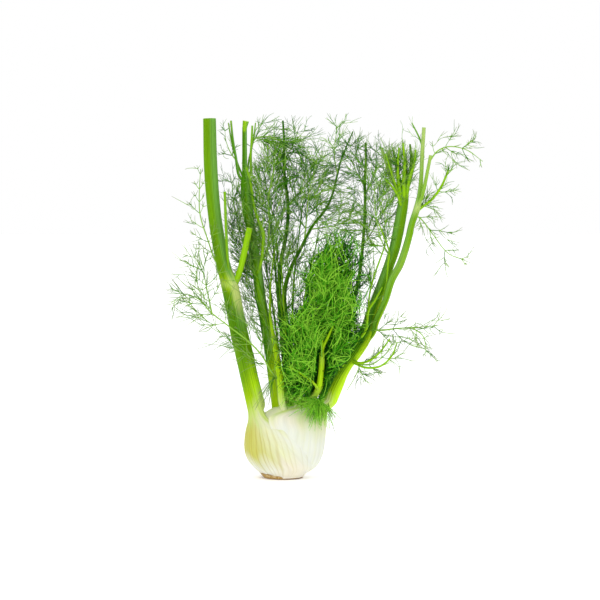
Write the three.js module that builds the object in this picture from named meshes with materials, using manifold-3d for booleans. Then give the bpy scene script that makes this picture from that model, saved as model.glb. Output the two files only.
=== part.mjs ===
// Florence fennel with its stalks and fronds, standing on the flat cut root plate.
// Millimetres, +Z up, -Y towards the front. Origin: middle of the cut under the root plate.
//
// The bulb is made of leaf bases (sheaths) that wrap one over the other. Each outer leaf is
// one body from its sheath to the cut end of its stalk. The inner leaves are packed so
// tight that their bases are one heart. Each frond is a body of its own on its stalk.
import * as THREE from 'three';
import { mergeVertices } from 'three/addons/utils/BufferGeometryUtils.js';
import Module from 'manifold-3d';

const wasm = await Module();
wasm.setup();

// ---------------------------------------------------------------- driving dimensions
const GAP = 0.3;               // clear space between two pieces that touch
const PLATE_TOP = 4.6;         // height of the cut root plate
const PLATE_HALF_WIDTH = 22.3; // half the plate's width at the cut
const PLATE_HALF_DEPTH = 17.5;
const SHEATH_FOOT = PLATE_TOP + GAP;
const CUT_GROWTH = 0.45;       // how far a leaf is grown, at its corners, to cut its neighbours
const HEART_TOLERANCE = 0.12;

// Height, left edge, right edge and half depth of the bulb, from foot to shoulder.
const BULB = [
  [4.9, -23.5, 27.0, 19.0],
  [11.5, -31.0, 37.0, 26.0],
  [21.7, -38.4, 43.6, 31.0],
  [33.5, -41.2, 46.8, 33.5],
  [47.9, -40.4, 48.5, 32.0],
  [62.0, -38.0, 49.6, 27.5],
  [72.0, -37.8, 50.0, 22.0],
  [84.0, -37.0, 50.0, 14.0],
];

// Height, left edge, right edge and half depth of the heart's domed top.
const HEART_INSET = 2.4;
const HEART_DOME = [
  [62.0, -30.0, 44.0, 24.0],
  [70.0, -22.0, 39.0, 19.0],
  [76.5, -12.0, 35.0, 14.0],
  [80.5, -2.0, 31.0, 9.0],
  [82.5, 6.0, 26.0, 4.0],
];

// Front margin of the left sheath: height and the angle round the bulb from its left side.
const LEFT_MARGIN = [
  [4.9, 152],
  [11.5, 150],
  [20.0, 136],
  [37.0, 113],
  [50.0, 95],
  [60.0, 79],
  [68.0, 64],
  [84.0, 50],
];
const BACK_MARGIN_SHARE = 0.9; // the back margin lies a little nearer the stalk

// ---------------------------------------------------------------- small helpers
const v = (x, y, z) => new THREE.Vector3(x, y, z);
const radians = THREE.MathUtils.degToRad;
const lerp = THREE.MathUtils.lerp;
const smooth = THREE.MathUtils.smoothstep;

// A row of a table between its written rows: the first column is the key.
function rowAt(table, key) {
  let i = 0;
  while (i < table.length - 2 && key > table[i + 1][0]) {
    i += 1;
  }
  const [a, b] = [table[i], table[i + 1]];
  const [before, after] = [table[Math.max(i - 1, 0)], table[Math.min(i + 2, table.length - 1)]];
  const width = b[0] - a[0];
  const t = THREE.MathUtils.clamp((key - a[0]) / width, 0, 1);
  return a.map((value, column) => {
    const slopeA = (b[column] - before[column]) / (b[0] - before[0]);
    const slopeB = (after[column] - value) / (after[0] - a[0]);
    const t2 = t * t;
    const t3 = t2 * t;
    return (2 * t3 - 3 * t2 + 1) * value + (t3 - 2 * t2 + t) * width * slopeA
      + (3 * t2 - 2 * t3) * b[column] + (t3 - t2) * width * slopeB;
  });
}

// The bulb's section at a height: centre, half width and half depth.
function bulbAt(z) {
  const [, left, right, depth] = rowAt(BULB, z);
  return { centre: (left + right) / 2, half: (right - left) / 2, depth };
}

// A closed body through rings of points, all with the same count, with flat ends.
function loft(rings) {
  const count = rings[0].length;
  const positions = rings.flat().flatMap((p) => [p.x, p.y, p.z]);
  const index = [];
  for (let k = 0; k + 1 < rings.length; k += 1) {
    for (let i = 0; i < count; i += 1) {
      const [a, b] = [k * count + i, k * count + ((i + 1) % count)];
      index.push(a, b, b + count, a, b + count, a + count);
    }
  }
  for (const k of [0, rings.length - 1]) {
    const outline = ringIn2D(rings[k]);
    for (const [a, b, c] of THREE.ShapeUtils.triangulateShape(outline, [])) {
      const base = k * count;
      index.push(...(k === 0 ? [base + a, base + c, base + b] : [base + a, base + b, base + c]));
    }
  }
  const geometry = new THREE.BufferGeometry();
  geometry.setAttribute('position', new THREE.Float32BufferAttribute(positions, 3));
  geometry.setIndex(index);
  return geometry;
}

// A ring's outline in its own plane, for its flat end.
function ringIn2D(ring) {
  const centre = ring.reduce((sum, p) => sum.add(p), v(0, 0, 0)).divideScalar(ring.length);
  const normal = v(0, 0, 0);
  ring.forEach((p, i) => {
    const next = ring[(i + 1) % ring.length];
    normal.add(p.clone().sub(centre).cross(next.clone().sub(centre)));
  });
  normal.normalize();
  const across = ring[0].clone().sub(centre).normalize();
  const up = normal.clone().cross(across);
  return ring.map((p) => {
    const d = p.clone().sub(centre);
    return new THREE.Vector2(d.dot(across), d.dot(up));
  });
}

function solid(geometry) {
  let shape = geometry.clone();
  shape.deleteAttribute('normal');
  shape.deleteAttribute('uv');
  shape = mergeVertices(shape, 1e-4);
  return new wasm.Manifold(new wasm.Mesh({
    numProp: 3,
    vertProperties: new Float32Array(shape.attributes.position.array),
    triVerts: new Uint32Array(shape.index.array),
  }));
}

function geometryOf(body) {
  const mesh = body.getMesh();
  const geometry = new THREE.BufferGeometry();
  geometry.setAttribute('position', new THREE.Float32BufferAttribute(mesh.vertProperties, 3));
  geometry.setIndex([...mesh.triVerts]);
  return geometry;
}

// The largest connected piece of a body, with hair-thin slivers taken out.
function clean(body, tolerance = 0.02) {
  const pieces = body.simplify(tolerance).decompose();
  pieces.sort((a, b) => b.volume() - a.volume());
  return pieces[0];
}

// ---------------------------------------------------------------- routes
// A stalk's route: points [x, y, z, radius], joined by a smooth curve.
class Route {
  constructor(points) {
    this.points = points;
    this.curve = new THREE.CatmullRomCurve3(points.map((p) => v(p[0], p[1], p[2])), false,
      'centripetal');
    this.last = points.length - 1;
  }

  at(u) {
    return this.curve.getPoint(u);
  }

  tangent(u) {
    return this.curve.getTangent(u);
  }

  radius(u) {
    const s = THREE.MathUtils.clamp(u, 0, 1) * this.last;
    const i = Math.min(Math.floor(s), this.last - 1);
    return lerp(this.points[i][3], this.points[i + 1][3], s - i);
  }

  // The curve's parameter at a height, on a route that rises all the way.
  atHeight(z) {
    let [low, high] = [0, 1];
    for (let step = 0; step < 30; step += 1) {
      const middle = (low + high) / 2;
      if (this.at(middle).z < z) {
        low = middle;
      } else {
        high = middle;
      }
    }
    return low;
  }

  // The route as short straight pieces with a radius, for finding what stands in the way.
  capsules(owner, stepsPerSpan = 2) {
    const steps = this.last * stepsPerSpan;
    return Array.from({ length: steps }, (_, i) => ({
      a: this.at(i / steps),
      b: this.at((i + 1) / steps),
      r: Math.max(this.radius(i / steps), this.radius((i + 1) / steps)),
      owner,
    }));
  }
}

// Two directions square to a route: out sideways, and towards the front.
function sectionFrame(tangent, side) {
  const front = v(0, -1, 0).addScaledVector(tangent, tangent.y).normalize();
  const out = side > 0 ? tangent.clone().cross(front) : front.clone().cross(tangent);
  return { out, front };
}

// A tapered stem with `sides` faces round it and `spans` rings between its route's points.
function stem(route, sides, spans = 1) {
  const rings = [];
  const steps = route.last * spans;
  let across = null;
  for (let k = 0; k <= steps; k += 1) {
    const u = k / steps;
    const tangent = route.tangent(u);
    if (across === null) {
      across = Math.abs(tangent.y) < 0.9 ? v(0, 1, 0) : v(1, 0, 0);
    }
    across.addScaledVector(tangent, -across.dot(tangent)).normalize();
    const up = tangent.clone().cross(across);
    const centre = route.at(u);
    const r = route.radius(u);
    rings.push(Array.from({ length: sides }, (_, i) => {
      const angle = (i / sides) * Math.PI * 2;
      return centre.clone().addScaledVector(across, r * Math.cos(angle))
        .addScaledVector(up, r * Math.sin(angle));
    }));
  }
  return loft(rings);
}

// ---------------------------------------------------------------- outer leaves
// One outer leaf: a sheath that hugs the bulb, whose section closes into a round stalk.
// `growth` makes the same body larger all round, for cutting its neighbours clear of it.
function leaf(spec, growth = 0) {
  const { side, route } = spec;
  const rings = spec.sheathHeights.map((z) => {
    const crescent = sheathRing(spec, z);
    const stalk = stalkRing(spec, route.atHeight(z));
    const share = smooth(z, spec.closesFrom, spec.closesTo);
    return crescent.map((p, i) => p.clone().lerp(stalk[i], share));
  });
  const first = route.atHeight(spec.sheathHeights.at(-1) + 3);
  for (let k = 0; k <= spec.stalkRings; k += 1) {
    rings.push(stalkRing(spec, lerp(first, 1, k / spec.stalkRings)));
  }
  if (side > 0) {
    rings.forEach((ring) => ring.reverse());
  }
  return solid(growth > 0 ? grown(loft(rings), growth) : loft(rings));
}

// The same shape with every corner moved out, away from all the faces that meet there.
function grown(geometry, growth) {
  const { position } = geometry.attributes;
  const { index } = geometry;
  const corner = (i) => new THREE.Vector3().fromBufferAttribute(position, index.getX(i));
  const away = Array.from({ length: position.count }, () => v(0, 0, 0));
  for (let i = 0; i < index.count; i += 3) {
    const [a, b, c] = [corner(i), corner(i + 1), corner(i + 2)];
    const normal = b.sub(a).cross(c.sub(a)).normalize();
    [0, 1, 2].forEach((k) => away[index.getX(i + k)].add(normal));
  }
  away.forEach((direction, i) => {
    const p = new THREE.Vector3().fromBufferAttribute(position, i);
    p.addScaledVector(direction.normalize(), growth);
    position.setXYZ(i, p.x, p.y, p.z);
  });
  return geometry;
}

// The sheath's section: along the outside from back margin to front, then back inside.
function sheathRing(spec, z) {
  const { side, outerPoints, innerPoints } = spec;
  const { centre, half, depth } = bulbAt(z);
  const front = radians(spec.frontMargin(z));
  const back = -radians(spec.backMargin(z));
  const inset = (angle, amount) => v(centre + side * (half - amount) * Math.cos(angle),
    -(depth - amount) * Math.sin(angle), z);
  const ring = [];
  for (let i = 0; i < outerPoints; i += 1) {
    const share = i / (outerPoints - 1);
    const rib = i % 2 === 1 ? spec.ribHeight * Math.sin(share * Math.PI) : 0;
    ring.push(inset(lerp(back, front, share), spec.outerInset - rib));
  }
  for (let i = 0; i < innerPoints; i += 1) {
    const angle = lerp(front, back, i / (innerPoints - 1));
    const bend = Math.max(0, 1 - (angle / radians(spec.thinFrom)) ** 2);
    ring.push(inset(angle, spec.thin + (spec.thick - spec.thin) * bend));
  }
  return ring;
}

// The stalk's section, with the same order of points as the sheath's.
function stalkRing(spec, u) {
  const { route, side, outerPoints, innerPoints } = spec;
  const centre = route.at(u);
  const { out, front } = sectionFrame(route.tangent(u), side);
  const r = route.radius(u);
  const point = (angle, radius) => centre.clone()
    .addScaledVector(out, radius * Math.cos(angle))
    .addScaledVector(front, radius * Math.sin(angle));
  const halfArc = Math.PI * (outerPoints - 0.5) / (outerPoints + innerPoints);
  const ring = [];
  for (let i = 0; i < outerPoints; i += 1) {
    const angle = lerp(-halfArc, halfArc, i / (outerPoints - 1));
    ring.push(point(angle, r - (i % 2 === 0 ? spec.groove : 0)));
  }
  for (let i = 0; i < innerPoints; i += 1) {
    const angle = lerp(halfArc, 2 * Math.PI - halfArc, (i + 0.5) / innerPoints);
    ring.push(point(angle, r));
  }
  return ring;
}

// Fuses branches with the body that they grow from.
function withBranches(body, branches) {
  return clean(wasm.Manifold.union([body, ...branches.map(([route, sides]) => (
    solid(stem(route, sides))))]));
}

const leftLeaf = {
  side: -1,
  outerPoints: 25,
  innerPoints: 13,
  ribHeight: 0.7,
  groove: 0.35,
  outerInset: 0,
  thin: 1.1,
  thick: 5.6,
  thinFrom: 82,
  closesFrom: 55,
  closesTo: 82,
  sheathHeights: [SHEATH_FOOT, 10, 17, 26, 36, 46, 55, 62, 68, 74, 82],
  stalkRings: 10,
  frontMargin: (z) => rowAt(LEFT_MARGIN, z)[1],
  backMargin: (z) => rowAt(LEFT_MARGIN, z)[1] * BACK_MARGIN_SHARE,
  route: new Route([
    [-23.0, 0, 54.0, 11.8], [-26.2, 0, 70.4, 11.0], [-30.0, 0, 85.6, 10.2],
    [-36.0, 0, 110.8, 9.8], [-41.4, -0.5, 136.1, 10.0], [-47.4, -1, 161.4, 9.8],
    [-52.1, -1, 186.6, 9.5], [-57.9, -1, 214.4, 9.6], [-62.5, -1, 228.2, 7.9],
    [-67.9, -1, 252.2, 7.6], [-73.9, 0, 290.1, 7.3], [-78.0, 1, 340.6, 7.5],
    [-79.2, 1, 394.9, 7.1],
  ]),
};

const rightLeaf = {
  side: 1,
  outerPoints: 17,
  innerPoints: 9,
  ribHeight: 0.25,
  groove: 0.3,
  outerInset: 0.2,
  thin: 4.6,
  thick: 7.2,
  thinFrom: 85,
  closesFrom: 62,
  closesTo: 85,
  sheathHeights: [SHEATH_FOOT, 11, 19, 30, 42, 54, 63, 68, 72, 76, 80, 85],
  stalkRings: 13,
  frontMargin: () => 112,
  backMargin: () => 96,
  route: new Route([
    [37.5, 0, 52.0, 13.0], [43.0, 0, 72.0, 11.2], [48.0, 0, 81.9, 9.8],
    [53.9, 0, 99.6, 8.9], [62.7, 0, 116.1, 7.8], [75.9, 0, 134.8, 7.7],
    [88.3, 0, 154.6, 7.4], [94.6, 0, 166.7, 7.3], [99.0, 0, 183.2, 6.5],
    [107.8, 0, 207.4, 5.9], [117.7, 0, 234.9, 5.7], [123.8, 0, 253.8, 6.0],
    [128.9, 0, 279.1, 6.2], [133.0, 0, 304.4, 5.8], [134.0, 0, 317.6, 5.6],
    [138.6, 1, 328.4, 4.0], [141.9, 1, 339.4, 2.4], [141.8, 1, 351.5, 1.6],
    [140.3, 1, 366.9, 1.1],
  ]),
};

const secondLeaf = {
  side: -1,
  outerPoints: 9,
  innerPoints: 7,
  ribHeight: 0,
  groove: 0.15,
  outerInset: 1.9,
  thin: 3.4,
  thick: 10.5,
  thinFrom: 80,
  closesFrom: 44,
  closesTo: 74,
  sheathHeights: [SHEATH_FOOT, 14, 26, 38, 48, 56, 62, 68, 74],
  stalkRings: 12,
  frontMargin: () => 74,
  backMargin: () => 70,
  route: new Route([
    [-4.0, 3, 46.0, 10.0], [-2.2, 4, 73.2, 9.3], [-3.9, 5, 86.4, 8.5],
    [-7.7, 6, 108.4, 7.8], [-12.7, 7, 136.1, 6.2], [-17.4, 8, 161.4, 5.7],
    [-20.4, 8, 179.9, 5.5], [-24.2, 8, 201.1, 6.1], [-26.4, 8, 222.2, 5.4],
    [-31.1, 8, 257.3, 4.7], [-36.3, 8, 285.5, 5.6], [-38.8, 8, 307.1, 6.5],
    [-39.6, 8, 327.3, 6.2], [-40.8, 8, 335.0, 3.0], [-41.1, 8, 360.0, 2.7],
    [-41.1, 8, 386.0, 2.6],
  ]),
};

// Stubs and side stems that stay on the outer leaves' stalks: route, faces round it.
const leftBranches = [
  [new Route([[-53, -2, 210, 3.2], [-46.2, -5, 228.3, 3.5], [-40.4, -6, 252, 3.7],
    [-35.3, -6, 275.6, 3.6]]), 8],
  [new Route([[-58, -5, 226, 1.4], [-59.4, -9.5, 245, 1.6], [-61, -10.5, 278.9, 1.6],
    [-62.2, -10, 315.2, 1.5]]), 5],
];
const secondBranches = [
  [new Route([[-41, 8, 326, 1.8], [-47.1, 8, 332.8, 1.7], [-50.8, 9, 352.8, 1.5],
    [-54.2, 9, 373.8, 1.3], [-56.1, 9, 393.3, 1.1]]), 5],
  [new Route([[-38, 8, 328, 1.7], [-34.7, 8, 335.2, 1.6], [-34.3, 8, 356.3, 1.4],
    [-33.2, 8, 373.8, 1.3], [-32.6, 8, 387.8, 1.1]]), 5],
  [new Route([[-26.4, 4, 226, 1.8], [-22.8, -1, 239, 1.9], [-20.6, -2, 257.3, 1.9],
    [-20.6, -2, 269.2, 2.6], [-24.9, -2, 281.8, 1.7], [-30, -2, 297, 1.6],
    [-34.7, -2, 328.1, 1.5], [-39.0, -2, 342.2, 1.4]]), 5],
];
const rightBranches = [
  [new Route([[99, -2, 160, 4.0], [103.5, -8, 174, 3.7], [113.3, -11, 196.4, 3.6],
    [119.9, -12, 218.4, 4.0], [129.6, -11, 237, 4.2], [138.6, -11, 265.7, 3.9],
    [141.6, -10, 279.1, 3.7], [148, -9, 298.9, 3.9], [150.6, -8, 312.7, 2.8],
    [152.2, -7, 332, 2.3], [153.3, -7, 360, 2.3], [154.9, -7, 384.9, 2.1]]), 8],
  [new Route([[149, -10, 300, 2.2], [153.3, -14, 312.7, 2.1], [158.7, -17, 339.8, 1.9],
    [161.5, -17, 354.4, 1.8]]), 5],
  [new Route([[132, -1, 312, 1.9], [124.7, -3, 320, 1.8], [117.8, -5, 333, 1.5],
    [114, -5, 345.2, 1.3], [109.3, -5, 362.1, 1.1]]), 5],
  [new Route([[131, 1, 314, 1.9], [122, 6, 328.4, 1.7], [119.4, 8, 343.6, 1.5],
    [117, 8, 359.8, 1.2]]), 5],
];

const leafRight = leaf(rightLeaf).subtract(leaf(leftLeaf, CUT_GROWTH));
const leafSecond = leaf(secondLeaf).subtract(leaf(leftLeaf, CUT_GROWTH))
  .subtract(leaf(rightLeaf, CUT_GROWTH));

// ---------------------------------------------------------------- heart
// The inner leaves: their packed bases end in a dome, and their stalks rise from it.
const heartStalks = {
  innerLeft: new Route([[6, -10, 64, 3.7], [5, -10.3, 71, 3.8], [2, -11, 78, 4.1],
    [0, -11, 86, 4.4], [-1.7, -10, 109.1, 4.2], [-4.6, -9, 128, 3.9], [-7.9, -8, 147.7, 3.1],
    [-10.8, -6, 165.2, 2.4], [-12.9, -5, 181, 1.9], [-12.9, -5, 203, 1.5], [-11.4, -4, 226, 1.3],
    [-7.3, -4, 253.8, 1.1], [-4.5, -4, 267, 0.9]]),
  backLeft: new Route([[10, 10, 64, 4.2], [9.5, 11.5, 72, 4.1], [8.5, 14, 84, 4.0],
    [5, 15, 110, 3.8], [1.1, 17, 152.4, 3.7], [-3.1, 19, 207.4, 3.6], [-1.1, 20, 239.7, 3.4],
    [4.6, 21, 267.9, 3.2], [6.6, 22, 299.8, 2.8], [2.2, 23, 339.4, 2.4],
    [1.9, 23, 377.3, 1.9], [0.8, 23, 394.1, 1.6]]),
  backMiddle: new Route([[15, 7, 66, 4.2], [14, 7.5, 86.4, 4.0], [6.6, 9, 152.4, 3.7],
    [2.2, 9, 199, 3.6], [4.6, 9, 215.2, 3.4], [9.6, 9, 230.6, 3.2], [20.1, 10, 251.7, 2.8],
    [33.9, 10, 278.3, 2.4], [47.9, 10, 295.9, 2.1], [54.9, 10, 310.6, 1.9],
    [61.2, 10, 335.2, 1.7], [65.5, 10, 351.3, 1.4], [78, 10, 381.5, 1.1]]),
  backRight: new Route([[18.5, 6.5, 66, 4.2], [19.5, 7.5, 76, 4.1], [26, 11, 84, 4.0],
    [37, 15, 98, 3.9], [63.8, 16, 152.4, 3.4], [77, 16, 185.4, 3.1], [85.4, 16, 222.2, 2.9],
    [90, 16, 264.2, 2.6], [91.9, 16, 307.1, 2.4], [91.3, 16, 324.7, 2.6],
    [92.4, 16, 345.7, 2.3], [92.4, 16, 369.6, 1.8]]),
  youngFront: new Route([[17, -4, 68, 3.6], [17.5, -5, 76, 3.4], [23, -9, 82, 3.3],
    [34, -16, 90, 3.2], [40, -20, 102, 2.9], [43, -22, 122, 2.8], [44, -23, 140, 3.0]]),
  youngRight: new Route([[32, -14.5, 88, 2.4], [42, -16, 100, 2.3], [49.5, -17, 123, 2.0],
    [58, -17.5, 163, 1.5]]),
  youngLeft: new Route([[12, -7, 72, 2.2], [14, -9, 80, 2.1], [19, -14, 92, 1.9],
    [23, -18, 108, 1.6], [26, -20, 130, 1.3]]),
};
const heartSides = {
  innerLeft: 8, backLeft: 7, backMiddle: 7, backRight: 7, youngFront: 6, youngRight: 5,
  youngLeft: 5,
};

function ellipseRing(z, left, right, depth, sides) {
  return Array.from({ length: sides }, (_, i) => {
    const angle = (i / sides) * Math.PI * 2;
    return v((left + right) / 2 + (right - left) / 2 * Math.cos(angle),
      depth * Math.sin(angle), z);
  });
}

function heartBody() {
  const sides = 20;
  const rings = [SHEATH_FOOT + GAP, 12, 22, 34, 48].map((z) => {
    const { centre, half, depth } = bulbAt(z);
    return ellipseRing(z, centre - half + HEART_INSET, centre + half - HEART_INSET,
      depth - HEART_INSET, sides);
  });
  for (const [z, left, right, depth] of HEART_DOME) {
    rings.push(ellipseRing(z, left, right, depth, sides));
  }
  const stalks = Object.entries(heartStalks).map(([name, route]) => (
    solid(stem(route, heartSides[name]))));
  const cutters = [leftLeaf, rightLeaf, secondLeaf].map((spec) => leaf(spec, CUT_GROWTH));
  const bases = clean(solid(loft(rings)).subtract(wasm.Manifold.union(cutters)), HEART_TOLERANCE);
  return clean(wasm.Manifold.union([bases, ...stalks]));
}

// ---------------------------------------------------------------- root plate
function rootPlate() {
  const rows = [[0, 0], [0.9, 1.2], [PLATE_TOP - 0.8, 1.6], [PLATE_TOP, 0.6]];
  const rings = rows.map(([z, swell]) => ellipseRing(z, -PLATE_HALF_WIDTH - swell,
    PLATE_HALF_WIDTH + swell * 1.5, PLATE_HALF_DEPTH + swell, 28));
  return solid(loft(rings));
}

// ---------------------------------------------------------------- fronds
// A repeatable stream of numbers from 0 to 1.
function randomStream(seed) {
  let state = seed >>> 0;
  return () => {
    state = (state + 0x6d2b79f5) >>> 0;
    let t = state;
    t = Math.imul(t ^ (t >>> 15), t | 1);
    t ^= t + Math.imul(t ^ (t >>> 7), t | 61);
    return ((t ^ (t >>> 14)) >>> 0) / 4294967296;
  };
}

// Everything that a new shoot has to stay clear of.
const taken = [
  { a: v(-12, 0, 49), b: v(22, 0, 49), r: 34, owner: 'bulb' },
];
const allRoutes = [
  ['leaf_left', leftLeaf.route], ['leaf_right', rightLeaf.route],
  ['leaf_second', secondLeaf.route],
  ...leftBranches.map(([route]) => ['leaf_left', route]),
  ...rightBranches.map(([route]) => ['leaf_right', route]),
  ...secondBranches.map(([route]) => ['leaf_second', route]),
  ...Object.values(heartStalks).map((route) => ['heart', route]),
];
for (const [owner, route] of allRoutes) {
  taken.push(...route.capsules(owner));
}

// The furthest that any tip reaches to the left, to the right and up.
const REACH = { left: -122, right: 221, top: 396 };

function isInside(p) {
  return p.x > REACH.left && p.x < REACH.right && p.z < REACH.top;
}

// Shortest distance between two straight pieces a-b and c-d.
function distance(a, b, c, d) {
  const u = b.clone().sub(a);
  const w = d.clone().sub(c);
  const s = a.clone().sub(c);
  const [uu, uw, ww, us, ws] = [u.dot(u), u.dot(w), w.dot(w), u.dot(s), w.dot(s)];
  const across = uu * ww - uw * uw;
  let p = across > 1e-9 ? THREE.MathUtils.clamp((uw * ws - ww * us) / across, 0, 1) : 0;
  const q = THREE.MathUtils.clamp((uw * p + ws) / ww, 0, 1);
  p = THREE.MathUtils.clamp((uw * q - us) / uu, 0, 1);
  return a.clone().addScaledVector(u, p).distanceTo(c.clone().addScaledVector(w, q));
}

function isClear(a, b, r, owner) {
  return isInside(b) && taken.every((piece) => piece.owner === owner
    || distance(a, b, piece.a, piece.b) > r + piece.r + GAP);
}

const MIDRIB_PAIR = 0.6;    // half the distance between the two rings at a midrib's node
const SHOOT_PAIR = 0.4;     // and at a shoot's node
const SHOOT_ROOT = 0.62;    // radius of a shoot where it leaves the midrib
const SHOOT_TIP = 0.4;      // and at its last node
// A line's radius, how much of it may lie close to what it grows from, and its bend.
const SHOOT = { r: SHOOT_ROOT, free: 4, bend: 0.3 };
const NEEDLE = { r: 0.35, free: 2, bend: 0 };
const SHOOT_ANGLE = 48;     // degrees between a shoot and the midrib
const SHOOT_STEP = 17;      // distance between pairs of shoots along the midrib
const NEEDLES_AT_NODE = 3;
const TURN = (2 * Math.PI) / 3;

// Every part of a frond has three faces. It is one skin: a shoot or a needle is drawn out
// of one triangle of what it grows from, between the two rings of a node.
class Skin {
  constructor() {
    this.positions = [];
    this.index = [];
  }

  point(p) {
    this.positions.push(p.x, p.y, p.z);
    return this.positions.length / 3 - 1;
  }

  at(i) {
    return v(...this.positions.slice(3 * i, 3 * i + 3));
  }

  centre(corners) {
    return corners.reduce((sum, i) => sum.add(this.at(i)), v(0, 0, 0)).divideScalar(3);
  }

  normal(corners) {
    const [a, b, c] = corners.map((i) => this.at(i));
    return b.sub(a).cross(c.sub(a)).normalize();
  }

  // Three points round a centre, the first one on the side of `across`.
  ring(centre, direction, across, r) {
    const flat = across.clone().addScaledVector(direction, -across.dot(direction)).normalize();
    const up = direction.clone().cross(flat);
    return [0, 1, 2].map((k) => this.point(centre.clone()
      .addScaledVector(flat, r * Math.cos(k * TURN))
      .addScaledVector(up, r * Math.sin(k * TURN))));
  }

  // The six triangles between two rings.
  wall(low, high) {
    const triangles = [];
    for (let k = 0; k < 3; k += 1) {
      const next = (k + 1) % 3;
      triangles.push([low[k], low[next], high[next]], [low[k], high[next], high[k]]);
    }
    return triangles;
  }

  close(triangles) {
    triangles.forEach((corners) => this.index.push(...corners));
  }

  // The triangle of a node's wall that faces a direction best, taken out of the wall.
  open(triangles, direction) {
    let best = 0;
    triangles.forEach((corners, i) => {
      if (this.normal(corners).dot(direction) > this.normal(triangles[best]).dot(direction)) {
        best = i;
      }
    });
    return triangles.splice(best, 1)[0];
  }

  spike(base, tip) {
    const apex = this.point(tip);
    this.close([0, 1, 2].map((k) => [base[k], base[(k + 1) % 3], apex]));
  }

  geometry() {
    const geometry = new THREE.BufferGeometry();
    geometry.setAttribute('position', new THREE.Float32BufferAttribute(this.positions, 3));
    geometry.setIndex(this.index);
    return geometry;
  }
}

// A direction that leaves `along` at an angle, turned round it by `roll`.
function leaving(along, angle, roll) {
  const side = Math.abs(along.y) < 0.9 ? v(0, 1, 0) : v(1, 0, 0);
  const flat = side.cross(along).normalize();
  const deep = along.clone().cross(flat);
  return along.clone().multiplyScalar(Math.cos(angle))
    .addScaledVector(flat, Math.sin(angle) * Math.cos(roll))
    .addScaledVector(deep, Math.sin(angle) * Math.sin(roll));
}

// A line in two pieces that leaves its root at `direction` and bends towards `along`.
function bentLine(root, direction, along, length, bend) {
  const middle = root.clone().addScaledVector(direction, length * 0.5);
  const onward = direction.clone().addScaledVector(along, bend).normalize();
  return [root, middle, middle.clone().addScaledVector(onward, length * 0.5)];
}

// Tries a line a few times, each time turned further or made shorter, until it is clear.
// `free` is how much of it may lie close to what it grows from.
function tryLine(root, along, angle, roll, length, kind, owner, random) {
  const { r, free, bend } = kind;
  for (let attempt = 0; attempt < 6; attempt += 1) {
    const turned = roll + (random() - 0.5) * 0.5 * (attempt + 1);
    const size = length * (1 - 0.12 * attempt);
    const line = bentLine(root, leaving(along, angle, turned), along, size, bend);
    const start = line[0].clone().lerp(line[1], Math.min(0.9, free / (size * 0.5)));
    if (isClear(line[0], line[1], r, owner) && isClear(line[1], line[2], r, owner)
      && isAlone(start, line[1], r, owner) && isAlone(line[1], line[2], r, owner)) {
      return line;
    }
  }
  return null;
}

// Whether a piece is clear of the rest of its own frond.
function isAlone(a, b, r, owner) {
  return taken.every((piece) => piece.owner !== owner
    || distance(a, b, piece.a, piece.b) > r + piece.r + 0.1);
}

function take(line, r, owner) {
  for (let i = 0; i + 1 < line.length; i += 1) {
    taken.push({ a: line[i], b: line[i + 1], r, owner });
  }
}

// The midrib's own plan: its nodes along the route and the shoots at each of them.
function planShoots(spec, route, start, owner, random) {
  const length = route.curve.getLength();
  const count = Math.max(2, Math.round(length / (spec.step ?? SHOOT_STEP)));
  const nodes = [];
  for (let i = 0; i < count; i += 1) {
    const u = lerp(Math.max(0.18, start + 3 / length), 0.96, i / (count - 1));
    const swell = 0.55 + 0.45 * Math.sin(Math.PI * Math.min(1, u + 0.15));
    const node = { u, shoots: [] };
    for (const side of [0, Math.PI]) {
      const angle = radians(SHOOT_ANGLE + (random() - 0.5) * 24);
      const roll = side + (random() - 0.5) * 1.5;
      const size = spec.reach * swell * (0.75 + 0.5 * random());
      const line = tryLine(route.at(u), route.tangent(u), angle, roll, size, SHOOT, owner,
        random);
      if (line) {
        node.shoots.push({ line, size, needles: [] });
        take(line, SHOOT_ROOT, owner);
      }
    }
    nodes.push(node);
  }
  return nodes;
}

// Needles in whorls at one or two places on a shoot.
function planNeedles(shoot, owner, random) {
  const places = shoot.size > 17 ? [0.42, 0.76] : [0.6];
  shoot.nodes = places.map((share) => {
    const half = share < 0.5 ? 0 : 1;
    const [a, b] = [shoot.line[half], shoot.line[half + 1]];
    const centre = a.clone().lerp(b, share * 2 - half);
    const along = b.clone().sub(a).normalize();
    const needles = [];
    for (let k = 0; k < NEEDLES_AT_NODE; k += 1) {
      const angle = radians(46 + (random() - 0.5) * 24);
      const roll = k * TURN + (random() - 0.5) * 0.9;
      const size = shoot.size * (0.72 - 0.4 * share) * (0.75 + 0.5 * random());
      const line = tryLine(centre, along, angle, roll, size, NEEDLE, owner, random);
      if (line) {
        needles.push(line);
        take([line[0], line[2]], NEEDLE.r, owner);
      }
    }
    return { share, centre, along, needles };
  });
}

// A frond: midribs on hand-laid routes, pairs of shoots, and whorls of needles on those.
function planFrond(spec, owner) {
  const random = randomStream(spec.seed);
  const midribs = spec.midribs.map((points, i) => {
    const route = new Route(points);
    const start = i === 0 ? firstClear(route, owner) : 0;
    return { route, start, nodes: planShoots(spec, route, start, owner, random) };
  });
  for (const { nodes } of midribs) {
    nodes.flatMap((node) => node.shoots)
      .forEach((shoot) => planNeedles(shoot, owner, random));
  }
  return midribs;
}

// How far along its route a midrib has to start to stand clear of the stalk that bears it.
function firstClear(route, owner) {
  for (let u = 0; u < 0.5; u += 0.002) {
    const here = route.at(u);
    if (isClear(here, here.clone().addScaledVector(route.tangent(u), 0.5), route.radius(u),
      owner)) {
      return u;
    }
  }
  throw new Error(`${owner} never leaves its stalk`);
}

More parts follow.
